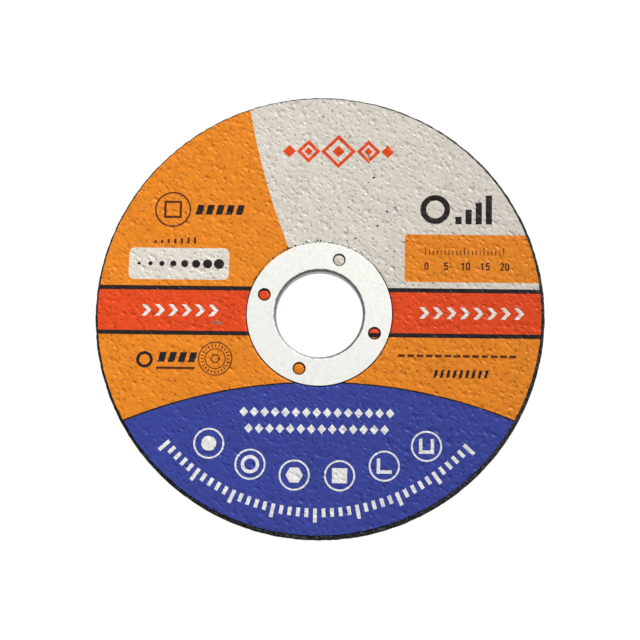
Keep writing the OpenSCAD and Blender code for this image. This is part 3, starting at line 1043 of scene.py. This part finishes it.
def inside(points: np.ndarray, loops: Sequence[Loop]) -> np.ndarray:
    """Which points lie in a shape, by the odd and even rule.

    Args:
        points: x and y of each point.
        loops: the shape's outlines.

    Returns:
        True for each point inside.
    """
    everything = np.concatenate(loops)
    low, high = everything.min(0), everything.max(0)
    near = np.flatnonzero(np.all((points >= low) & (points <= high), axis=1))
    x, y = points[near].T
    odd = np.zeros(len(near), bool)
    for loop in loops:
        for (ax, ay), (bx, by) in zip(loop, np.roll(loop, -1, axis=0)):
            if ay != by:
                crosses = (ay > y) != (by > y)
                odd ^= crosses & (x < (bx - ax) * (y - ay) / (by - ay) + ax)
    found = np.zeros(len(points), bool)
    found[near[odd]] = True
    return found


def triangulate(points: np.ndarray, loops: Sequence[Loop]) -> tuple[np.ndarray, np.ndarray]:
    """Triangles over points, with every outline kept as edges.

    Args:
        points: free points.
        loops: closed outlines.

    Returns:
        The points used and the triangles between them.
    """
    verts = [points]
    edges: list[tuple[int, int]] = []
    start = len(points)
    for loop in loops:
        verts.append(loop)
        n = len(loop)
        edges += [(start + i, start + (i + 1) % n) for i in range(n)]
        start += n
    flat = [Vector(p) for p in np.concatenate(verts)]
    co, _, faces, *_ = delaunay_2d_cdt(flat, edges, [], 0, MERGE_MM)
    return np.array([(p.x, p.y) for p in co]), np.array(faces, int)


def hex_grid(radius: float, spacing: float) -> np.ndarray:
    """Points of a triangular grid over a square of a half width."""
    rows = np.arange(-radius, radius, spacing * math.sqrt(3) / 2)
    columns = np.arange(-radius, radius, spacing)
    x, y = np.meshgrid(columns, rows)
    x[1::2] += spacing / 2
    return np.stack([x.ravel(), y.ravel()], 1)


def link_mesh(name: str, verts: np.ndarray,
              faces: Sequence[Sequence[int]] | np.ndarray) -> bpy.types.Object:
    """Makes a mesh object from points in millimetres.

    Args:
        name: the piece's name.
        verts: x, y and z of each point.
        faces: corner numbers of each face.

    Returns:
        The object, in the scene.
    """
    mesh = bpy.data.meshes.new(name)
    mesh.from_pydata((verts * MM).tolist(), [], [list(f) for f in faces])
    mesh.validate()
    made = bpy.data.objects.new(name, mesh)
    bpy.context.scene.collection.objects.link(made)
    return made


@dataclass
class PaperLabel:
    """The printed paper disc, pressed down round the ring and up into its keying holes."""

    sizes: WheelSizes
    relief: PressedRelief
    thickness: float = 0.15
    hole_gap: float = 0.8
    trim: float = 0.06
    keys: KeyHoles = KeyHoles()
    dome_base_r: float = 1.45
    dome_rise: float = 0.25
    spacing: float = 0.36
    hidden_spacing: float = 1.2
    under_spacing: float = 3.0
    clearance: float = 0.3
    fade: float = 0.6
    edge_play: float = 0.04
    hidden_drop: float = 0.12
    off_centre: Point = (-0.14, 0.36)
    seed: int = 23

    def build(self) -> bpy.types.Object:
        """Builds the label and returns its object."""
        s = self.sizes
        shapes = LabelPrint(s.label_r, s.ring_r, self.keys.centres(), self.off_centre).draw()
        edge = self._edge()
        hole = circle(0, 0, s.bore_r + self.hole_gap, 96)
        outlines = [resample(loop, self.spacing) for shape in shapes for loop in shape.loops]
        outlines += [edge, hole, *self._seat_circles()]
        points = self._free_points(outlines)
        flat, tris = triangulate(points, outlines)
        tris = tris[inside(flat[tris].mean(1), [edge, hole])]
        inks = self._inks(flat[tris].mean(1), shapes)
        top = np.column_stack([flat, self._base(flat) + self._relief(flat)])
        return self._close(top, tris, inks)

    def _edge(self) -> Loop:
        """Outer edge of the paper, a little ragged where it was punched and pressed."""
        rng = np.random.default_rng(self.seed)
        n, waves = 900, range(3, 170, 3)
        a = np.arange(n) * FULL_TURN / n
        play = np.zeros(n)
        for count in waves:
            play += rng.normal() * np.cos(count * a + rng.uniform(0, FULL_TURN)) / math.sqrt(len(waves) + 1)
        r = self.sizes.label_r - self.trim + self.edge_play * play
        return np.stack([r * np.cos(a), r * np.sin(a)], 1) + np.array(self.off_centre)

    def _seat_circles(self) -> list[Loop]:
        """Circles where the paper bends: the foot and top of the seat's wall, and the domes."""
        s, points, steps = self.sizes, 300, 4
        loops = [circle(0, 0, s.seat_foot, points), circle(0, 0, s.seat_foot + s.seat_drop, points)]
        for x, y in self.keys.centres():
            for k in range(1, steps + 1):
                loops.append(circle(x, y, self.dome_base_r * k / steps, 8 * k + 4))
        return loops

    def _free_points(self, outlines: Sequence[Loop]) -> np.ndarray:
        """Grid points clear of every outline, close together where the label shows.

        Args:
            outlines: the outlines that have points of their own.

        Returns:
            The points.
        """
        s, clear = self.sizes, self.clearance
        fine = hex_grid(s.label_r, self.spacing)
        coarse = hex_grid(s.ring_r, self.hidden_spacing)
        fine = fine[np.hypot(*fine.T) > s.ring_r]
        coarse = coarse[np.hypot(*coarse.T) < s.ring_r - clear]
        points = np.concatenate([fine, coarse])
        r = np.hypot(*points.T)
        points = points[(r < s.label_r - clear) & (r > s.bore_r + self.hole_gap + clear)]
        step, margin = 0.1, 8
        half = s.wheel_r + margin
        taken = np.zeros((int(2 * half / step) + 1,) * 2, bool)
        marks = np.concatenate([resample(loop, step) for loop in outlines])
        marks = marks[np.all(np.abs(marks) < half - 1, axis=1)]
        j, i = np.round((marks + half) / step).astype(int).T
        for di in (-1, 0, 1):
            for dj in (-1, 0, 1):
                taken[i + di, j + dj] = True
        j, i = np.round((points + half) / step).astype(int).T
        return points[~taken[i, j]]

    def _inks(self, middles: np.ndarray, shapes: Sequence[PrintShape]) -> np.ndarray:
        """Material slot of each triangle, from the last shape printed over it."""
        slots = np.full(len(middles), Ink.PAPER.slot)
        for shape in shapes:
            slots[inside(middles, shape.loops)] = shape.ink.slot
        return slots

    def _base(self, flat: np.ndarray) -> np.ndarray:
        """Height of the paper without its relief: the face, the seat and the domes."""
        s = self.sizes
        r = np.hypot(*flat.T)
        height = np.clip(s.seat_z + (r - s.seat_foot), s.seat_z, s.face_z)
        for x, y in self.keys.centres():
            d = np.hypot(flat[:, 0] - x, flat[:, 1] - y)
            dome = self.dome_rise * (1 - (d / self.dome_base_r) ** 2)
            height = np.maximum(height, s.seat_z + dome)
        return height

    def _relief(self, flat: np.ndarray) -> np.ndarray:
        """Relief of the paper, none where the ring presses it flat."""
        r = np.hypot(*flat.T)
        return self.relief.at(flat) * np.clip((r - self.sizes.seat_foot) / self.fade, 0, 1)

    def _close(self, top: np.ndarray, tris: np.ndarray, inks: np.ndarray) -> bpy.types.Object:
        """Adds the cut edges and the underside, and gives each face its ink.

        Args:
            top: points of the printed side.
            tris: its triangles.
            inks: material slot of each triangle.

        Returns:
            The closed label.
        """
        used = np.unique(tris)
        index = np.full(len(top), -1)
        index[used] = np.arange(len(used))
        top, tris = top[used], index[tris]
        border = self._border(tris)
        rim = np.unique(border)
        under = np.full(len(top), -1)
        under[rim] = len(top) + np.arange(len(rim))
        walls = [(b, a, under[a], under[b]) for a, b in border]
        flat, low_tris = self._underside(top[rim, :2], np.searchsorted(rim, border))
        low = self._base(flat) - self.thickness - self.hidden_drop
        verts = np.vstack([top, np.column_stack([flat, low])])
        faces = [*tris.tolist(), *walls, *(len(top) + low_tris[:, ::-1]).tolist()]
        made = link_mesh("paper_label", verts, faces)
        self._colour(made, inks, border)
        return made

    def _border(self, tris: np.ndarray) -> np.ndarray:
        """Edges that belong to one triangle only, in its direction."""
        sides = np.concatenate([tris[:, [0, 1]], tris[:, [1, 2]], tris[:, [2, 0]]])
        key = np.sort(sides, axis=1)
        _, first, counts = np.unique(key, axis=0, return_index=True, return_counts=True)
        return sides[first[counts == 1]]

    def _colour(self, made: bpy.types.Object, inks: np.ndarray, border: np.ndarray) -> None:
        """Gives each face its ink, smooths the printed side and keeps the cut edges sharp.

        Args:
            made: the closed label, printed faces first.
            inks: material slot of each printed face.
            border: the printed side's border edges.
        """
        data = made.data
        bare = np.full(len(data.polygons) - len(inks), Ink.PAPER.slot)
        for ink in Ink:
            data.materials.append(INK_FINISHES[ink].material())
        data.polygons.foreach_set("material_index", np.concatenate([inks, bare]).astype(np.int32))
        data.polygons.foreach_set("use_smooth", np.arange(len(data.polygons)) < len(inks))
        cut = {tuple(pair) for pair in np.sort(border, axis=1).tolist()}
        for edge in data.edges:
            edge.use_edge_sharp = tuple(sorted(edge.vertices)) in cut

    def _underside(self, rim: np.ndarray, border: np.ndarray) -> tuple[np.ndarray, np.ndarray]:
        """Triangles of the unprinted side, which meet the cut edges point for point.

        Args:
            rim: x and y of the border's points.
            border: its edges, as pairs of those points.

        Returns:
            The underside's points, border points first, and its triangles.
        """
        s, clear, points = self.sizes, 2, 120
        inner = hex_grid(s.label_r, self.under_spacing)
        r = np.hypot(*inner.T)
        inner = inner[(r > s.bore_r + clear) & (r < s.label_r - clear)]
        seat = [circle(0, 0, s.seat_foot, points), circle(0, 0, s.seat_foot + s.seat_drop, points)]
        free = [Vector(p) for p in np.concatenate([rim, *seat, inner])]
        edges = [(int(a), int(b)) for a, b in border]
        co, _, faces, *_ = delaunay_2d_cdt(free, edges, [], 0, EXACT_MM)
        flat, tris = np.array([(p.x, p.y) for p in co]), np.array(faces, int)
        return flat, tris[inside(flat[tris].mean(1), self._border_loops(rim))]

    def _border_loops(self, rim: np.ndarray) -> list[Loop]:
        """Border points in order round the wheel: the hole's edge, then the paper's."""
        rim = rim[np.argsort(np.arctan2(rim[:, 1], rim[:, 0]))]
        outer = np.hypot(*rim.T) > self.sizes.ring_r
        return [rim[~outer], rim[outer]]


def lathe(profile: np.ndarray, turns: int) -> tuple[np.ndarray, np.ndarray]:
    """Turns a closed profile about the wheel's axis.

    Args:
        profile: radius and height of each point, in order round the section.
        turns: points round the axis.

    Returns:
        The points, ring after ring, and the quads between them.
    """
    a = np.arange(turns) * FULL_TURN / turns
    n = len(profile)
    x = profile[:, 0, None] * np.cos(a)
    y = profile[:, 0, None] * np.sin(a)
    z = np.repeat(profile[:, 1, None], turns, axis=1)
    verts = np.stack([x, y, z], 2).reshape(-1, 3)
    i, j = np.meshgrid(np.arange(n), np.arange(turns), indexing="ij")
    i2, j2 = (i + 1) % n, (j + 1) % turns
    quads = np.stack([i * turns + j, i * turns + j2, i2 * turns + j2, i2 * turns + j], 2)
    return verts, quads.reshape(-1, 4)


@dataclass
class AbrasiveDisc:
    """The pressed abrasive body, with a gritty rim and the cloth's weave on its back."""

    sizes: WheelSizes
    bore_gap: float = 0.45
    rim_break: float = 0.15
    turns: int = 800
    row: float = 0.62
    grain: float = 0.05
    yarn_pitch: Point = (4.15, 5.1)
    yarn_angle: Point = (-34.5, 46.0)
    yarn_height: float = 0.2
    hidden_drop: float = 0.14
    hidden_until: float = 1.2
    shown_from: float = 0.9
    rough_w: float = 0.6
    seed: int = 5

    def build(self) -> bpy.types.Object:
        """Builds the disc and returns its object."""
        verts, quads = lathe(self._profile(), self.turns)
        verts = self._roughen(verts)
        made = link_mesh("abrasive_body", verts, quads)
        made.data.materials.append(BondedGrit().material())
        made.data.polygons.foreach_set("use_smooth", np.ones(len(quads), bool))
        return made

    def _profile(self) -> np.ndarray:
        """Section of the disc: bore, top, rim and back."""
        s = self.sizes
        bore, rim, cut = s.bore_r + self.bore_gap, s.wheel_r, self.rim_break
        hidden = s.disc_top - self.hidden_drop
        top = [(bore, hidden - s.seat_drop), (s.seat_foot, hidden - s.seat_drop)]
        top += [(s.seat_foot + s.seat_drop, hidden)]
        top += [(r, hidden) for r in np.linspace(30, rim - self.hidden_until, 5)]
        top += [(r, s.disc_top) for r in np.linspace(rim - self.shown_from, rim - cut, 3)]
        wall = [(rim, z) for z in np.linspace(s.disc_top - cut, cut, 11)]
        rows = int((rim - cut - bore) / self.row)
        back = [(r, 0.0) for r in np.linspace(rim - cut, bore, rows)]
        margin = 0.4
        inner = [(bore, z) for z in np.linspace(margin, s.disc_top - s.seat_drop - margin, 4)]
        return np.array(top + wall + back + inner)[::-1]

    def _roughen(self, verts: np.ndarray) -> np.ndarray:
        """Moves the points by the grains at the rim and the yarns of the cloth on the back.

        Args:
            verts: points of the smooth disc.

        Returns:
            The moved points.
        """
        rng = np.random.default_rng(self.seed)
        neighbour, hair = 0.8, 0.02
        yarn_edge, yarn_slope = 0.55, 0.3
        r = np.hypot(verts[:, 0], verts[:, 1])
        jump = rng.normal(size=(len(verts) // self.turns, self.turns))
        for axis in (0, 1):
            jump = jump + neighbour * (np.roll(jump, 1, axis) + np.roll(jump, -1, axis))
        jump = (jump / jump.std()).ravel()
        at_rim = r > self.sizes.wheel_r - self.rough_w
        back = (verts[:, 2] == 0) & ~at_rim
        push = np.where(at_rim, self.grain * np.clip(jump, -2, 1.0), 0.0)
        scale = 1 + push / np.maximum(r, 1)
        verts = verts * np.column_stack([scale, scale, np.ones(len(verts))])
        lift = np.zeros(len(verts))
        for pitch, angle in zip(self.yarn_pitch, self.yarn_angle):
            a = math.radians(angle)
            across = -verts[:, 0] * math.sin(a) + verts[:, 1] * math.cos(a)
            phase = np.abs((across / pitch) % 1 - 0.5) * 2
            lift = np.maximum(lift, np.clip((phase - yarn_edge) / yarn_slope, 0, 1))
        depth = self.yarn_height * (1 - lift) + hair * np.abs(jump)
        verts[:, 2] += np.where(back, depth, 0.0)
        return verts


@dataclass
class Skin:
    """Points and faces of a piece that is put together from several sheets."""

    verts: list[np.ndarray] = field(default_factory=list)
    faces: list[list[int]] = field(default_factory=list)

    def add(self, points: np.ndarray, faces: np.ndarray) -> None:
        """Adds points, and faces whose numbers count from the first of them."""
        start = sum(len(v) for v in self.verts)
        self.verts.append(points)
        self.faces += (start + faces).tolist()


class RingFace(Enum):
    """State of a face of the ring: clean tinplate, or tinplate darkened by painted shade."""

    CLEAN = TinPlate()
    # Painted shade: mid grey tinplate for the collar's wall, darker for the bend, the collar's foot and the
    # holes' walls.
    DULLED = TinPlate("resin_dulled_tinplate", colour="B6B8BD", shade="A2A4A9", roughness=0.5)
    STAINED = TinPlate("resin_stained_bend", colour="9E9FA0", shade="868788", roughness=0.6)

    @property
    def slot(self) -> int:
        """Number of the ring's material slot for this state."""
        return list(RingFace).index(self)


@dataclass
class ArborRing:
    """The stamped ring: flange with keying holes, bend and collar."""

    sizes: WheelSizes
    sheet: float = 0.35
    bend: float = 0.5
    roll: float = 0.12
    foot_break: float = 0.05
    keys: KeyHoles = KeyHoles()
    key_roll: float = 0.1
    key_turns: int = 48
    turns: int = 240
    spacing: float = 1.4
    # Height of the painted shade at the collar's foot, and the ragged edge where painted shade begins in the
    # bore.
    stain_h: float = 1.0
    stain_edge: float = 0.967
    stain_play: float = 0.024
    stain_waves: tuple[int, int] = (23, 9)
    flat_normal: float = 0.99
    upright_normal: float = 0.1
    crease: float = 40.0

    def build(self) -> bpy.types.Object:
        """Builds the ring and returns its object."""
        s = self.sizes
        top, under = s.ring_top, s.ring_top - self.sheet
        bend_out, corner = self.bend + self.sheet, self.foot_break
        bx, bz = s.bore_r + bend_out, top - bend_out
        collar_r = bx - self.bend
        outside = [*arc(s.ring_r - self.roll, top - self.roll, self.roll, 90, 0, 6), (s.ring_r, under)]
        collar = [
            *arc(bx, bz, self.bend, 90, 180, 5),
            (collar_r, s.ring_foot + corner), (collar_r - corner, s.ring_foot),
            (s.bore_r + corner, s.ring_foot), (s.bore_r, s.ring_foot + corner),
            (s.bore_r, s.ring_foot + self.stain_h),
            *arc(bx, bz, bend_out, 180, 90, 16),
        ]
        skin = Skin()
        for line in (outside, collar):
            skin.add(*self._strip(line, self.turns))
        skin.add(*self._plate(top, bx, s.ring_r - self.roll, self.keys.r + self.key_roll))
        skin.add(*self._plate(under, bx, s.ring_r, self.keys.r))
        wall, quads = self._strip(self._key_wall(top, under), self.key_turns)
        for x, y in self.keys.centres():
            skin.add(wall + (x, y, 0), quads)
        made = link_mesh("stamped_arbor_ring", np.concatenate(skin.verts), skin.faces)
        for state in RingFace:
            made.data.materials.append(state.value.material())
        self._weld(made)
        return made

    def _strip(self, line: Sequence[Point], turns: int) -> tuple[np.ndarray, np.ndarray]:
        """Points and quads of an open line of radius and height, turned about the axis."""
        points, quads = lathe(np.array(line), turns)
        return points, quads[quads[:, 0] < (len(line) - 1) * turns]

    def _key_wall(self, top: float, under: float) -> list[Point]:
        """Line down the wall of a keying hole, with a rolled upper edge."""
        r, roll = self.keys.r, self.key_roll
        part = 0.3 * roll
        return [(r + roll, top), (r + part, top - part), (r, top - roll), (r, under)]

    def _plate(self, z: float, inner: float, outer: float, hole_r: float) -> tuple[np.ndarray, np.ndarray]:
        """Flat face of the flange with its keying holes.

        Args:
            z: its height.
            inner: its inner radius.
            outer: its outer radius.
            hole_r: radius of the holes.

        Returns:
            Its points and triangles.
        """
        edge_clear, hole_clear = 0.5, 0.4
        loops = [circle(0, 0, inner, self.turns), circle(0, 0, outer, self.turns)]
        grid = hex_grid(outer, self.spacing)
        r = np.hypot(*grid.T)
        clear = (r > inner + edge_clear) & (r < outer - edge_clear)
        for x, y in self.keys.centres():
            loops.append(circle(x, y, hole_r, self.key_turns))
            clear &= np.hypot(grid[:, 0] - x, grid[:, 1] - y) > hole_r + hole_clear
        flat, tris = triangulate(grid[clear], loops)
        keep = inside(flat[tris].mean(1), loops)
        return np.column_stack([flat, np.full(len(flat), z)]), tris[keep]

    def _weld(self, made: bpy.types.Object) -> None:
        """Joins the sheets into one closed skin and smooths its bends."""
        mesh = bmesh.new()
        mesh.from_mesh(made.data)
        bmesh.ops.remove_doubles(mesh, verts=mesh.verts, dist=MERGE_MM / 2 * MM)
        loose = [v for v in mesh.verts if not v.link_faces]
        bmesh.ops.delete(mesh, geom=loose, context="VERTS")
        bmesh.ops.recalc_face_normals(mesh, faces=mesh.faces)
        for face in mesh.faces:
            face.normal_update()
            face.smooth = abs(face.normal.z) < self.flat_normal
            # Painted shade in the bore and on the keying holes' walls.
            face.material_index = self._state(face).slot
        for edge in mesh.edges:
            if len(edge.link_faces) == 2 and edge.calc_face_angle(0) > math.radians(self.crease):
                edge.smooth = False
        mesh.to_mesh(made.data)
        mesh.free()

    def _state(self, face: bmesh.types.BMFace) -> RingFace:
        """Where shade is painted on the tinplate: on the bend, the collar and the holes' walls, with a ragged
        edge in the bore.

        Args:
            face: a face of the welded ring.

        Returns:
            Its state.
        """
        middle, slope = face.calc_center_median() / MM, abs(face.normal.z)
        angle = math.atan2(middle.y, middle.x)
        ripple = math.sin(self.stain_waves[0] * angle) * math.sin(self.stain_waves[1] * angle + 1)
        ragged = self.stain_edge + self.stain_play * ripple
        if slope < ragged and middle.xy.length < self.sizes.bore_r + self.sheet + self.bend:
            low = middle.z < self.sizes.ring_foot + self.stain_h
            return RingFace.STAINED if low or slope > self.upright_normal else RingFace.DULLED
        hole_r = self.keys.r + self.key_roll
        in_hole = any(math.dist(middle.xy, at) < hole_r for at in self.keys.centres())
        return RingFace.STAINED if in_hole and slope < self.flat_normal else RingFace.CLEAN


@dataclass(frozen=True)
class Softbox:
    """A square softbox that faces the wheel.

    Its bearing is anticlockwise from +X and its height above the floor, both in
    degrees. Its distance and side are in millimetres, and its share is of the
    light on the label.
    """

    name: str
    bearing: float
    height: float
    away: float
    side: float
    share: float

    def hang(self) -> None:
        """Adds the lamp to the scene."""
        b, h, away = math.radians(self.bearing), math.radians(self.height), self.away * MM
        place = Vector((math.cos(b) * math.cos(h), math.sin(b) * math.cos(h), math.sin(h))) * away
        data = bpy.data.lights.new(self.name, "AREA")
        data.energy = self.share * math.pi ** 2 * away ** 2 / math.sin(h)
        data.size = self.side * MM
        lamp = bpy.data.objects.new(self.name, data)
        lamp.location = place
        lamp.rotation_euler = (-place).to_track_quat("-Z", "Y").to_euler()
        bpy.context.scene.collection.objects.link(lamp)


SOFTBOXES = (
    Softbox("key_light", bearing=62.0, height=32.0, away=2400.0, side=560.0, share=0.66),
    Softbox("top_light", bearing=101.0, height=77.0, away=1200.0, side=1300.0, share=0.15),
    Softbox("left_light", bearing=180.0, height=48.0, away=420.0, side=220.0, share=0.06),
)


@dataclass
class Studio:
    """Pale floor, soft light and the camera of the photograph.

    Each softbox gives a share of the light that falls on the label, and the
    even surround gives the rest.
    """

    floor_half: float = 1500.0
    floor_z: float = -0.02
    backdrop_h: float = 700.0
    elevation: float = 79.4
    azimuth: float = 11.0
    roll: float = 1.05
    distance: float = 470.0
    frame_width: float = 164.2
    aim: tuple[float, float, float] = (0.18, -1.3, 1.5)
    sensor: float = 36.0
    surround: float = 0.17

    def build(self) -> None:
        """Adds the floor, the lights and the camera."""
        bpy.context.scene.view_settings.view_transform = "Standard"
        white = self._white()
        self._floor(white)
        self._backdrop(white)
        self._world()
        for softbox in SOFTBOXES:
            softbox.hang()
        self._camera()

    def _floor(self, white: bpy.types.Material) -> None:
        """Adds a plain white floor."""
        h = self.floor_half
        corners = rectangle(-h, -h, h, h)
        verts = np.column_stack([corners, np.full(len(corners), self.floor_z)])
        floor = link_mesh("floor", verts, [(0, 1, 2, 3)])
        floor.data.materials.append(white)

    def _backdrop(self, white: bpy.types.Material) -> None:
        """Adds a round wall behind the floor, which the camera sees and the light doesn't."""
        rim = circle(0, 0, self.floor_half, 96)
        heights = np.repeat([self.floor_z, self.backdrop_h], len(rim))
        verts = np.column_stack([np.vstack([rim, rim]), heights])
        n = len(rim)
        wall = link_mesh("backdrop", verts, [(i, (i + 1) % n, n + (i + 1) % n, n + i) for i in range(n)])
        wall.data.materials.append(white)
        wall.visible_diffuse = wall.visible_glossy = wall.visible_shadow = False

    def _white(self) -> bpy.types.Material:
        """Builds paper white that takes no shadow."""
        made = bpy.data.materials.new("matt_white_floor")
        made.use_nodes = True
        shader = made.node_tree.nodes["Principled BSDF"]
        shader.inputs["Base Color"].default_value = linear("343434")
        shader.inputs["Roughness"].default_value = 0.9
        shader.inputs["Specular IOR Level"].default_value = 0.0
        shader.inputs["Emission Color"].default_value = linear("FFFFFF")
        shader.inputs["Emission Strength"].default_value = 1.0
        return made

    def _world(self) -> None:
        """Adds an even white surround."""
        world = bpy.data.worlds.new("studio")
        world.use_nodes = True
        back = world.node_tree.nodes["Background"]
        back.inputs["Color"].default_value = linear("FFFFFF")
        back.inputs["Strength"].default_value = self.surround
        bpy.context.scene.world = world

    def _camera(self) -> None:
        """Adds the camera, above the label and a little below the wheel's middle."""
        a, e = math.radians(self.azimuth), math.radians(self.elevation)
        back = Vector((math.sin(a) * math.cos(e), -math.cos(a) * math.cos(e), math.sin(e)))
        right = Vector((0, 1, 0)).cross(back).normalized()
        up = back.cross(right)
        turn = Matrix((right, up, back)).transposed() @ Matrix.Rotation(math.radians(self.roll), 3, "Z")
        data = bpy.data.cameras.new("photo_camera")
        data.sensor_width = self.sensor
        data.lens = self.sensor * self.distance / self.frame_width
        camera = bpy.data.objects.new("photo_camera", data)
        place = Vector(self.aim) * MM + back * self.distance * MM
        camera.matrix_world = Matrix.Translation(place) @ turn.to_4x4()
        bpy.context.scene.collection.objects.link(camera)
        bpy.context.scene.camera = camera


def dress(piece: bpy.types.Object, node: str) -> None:
    """Puts a finished piece in a solid's place.

    Args:
        piece: the piece.
        node: the solid that it stands for.
    """
    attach(piece, BODY)
    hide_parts(node)
    LOG.info("%s stands for %s: %d faces", piece.name, node, len(piece.data.polygons))


def main() -> None:
    """Builds the wheel's pieces and the studio round them."""
    logging.basicConfig(level=logging.INFO, format="%(name)s: %(message)s")
    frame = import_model()
    sizes = WheelSizes.from_frame(frame, PaperLabel.thickness)
    Studio().build()
    dress(AbrasiveDisc(sizes).build(), "abrasive_disc")
    dress(PaperLabel(sizes, PressedRelief()).build(), "label")
    dress(ArborRing(sizes).build(), "arbor_ring")


if __name__ == "__main__":
    main()
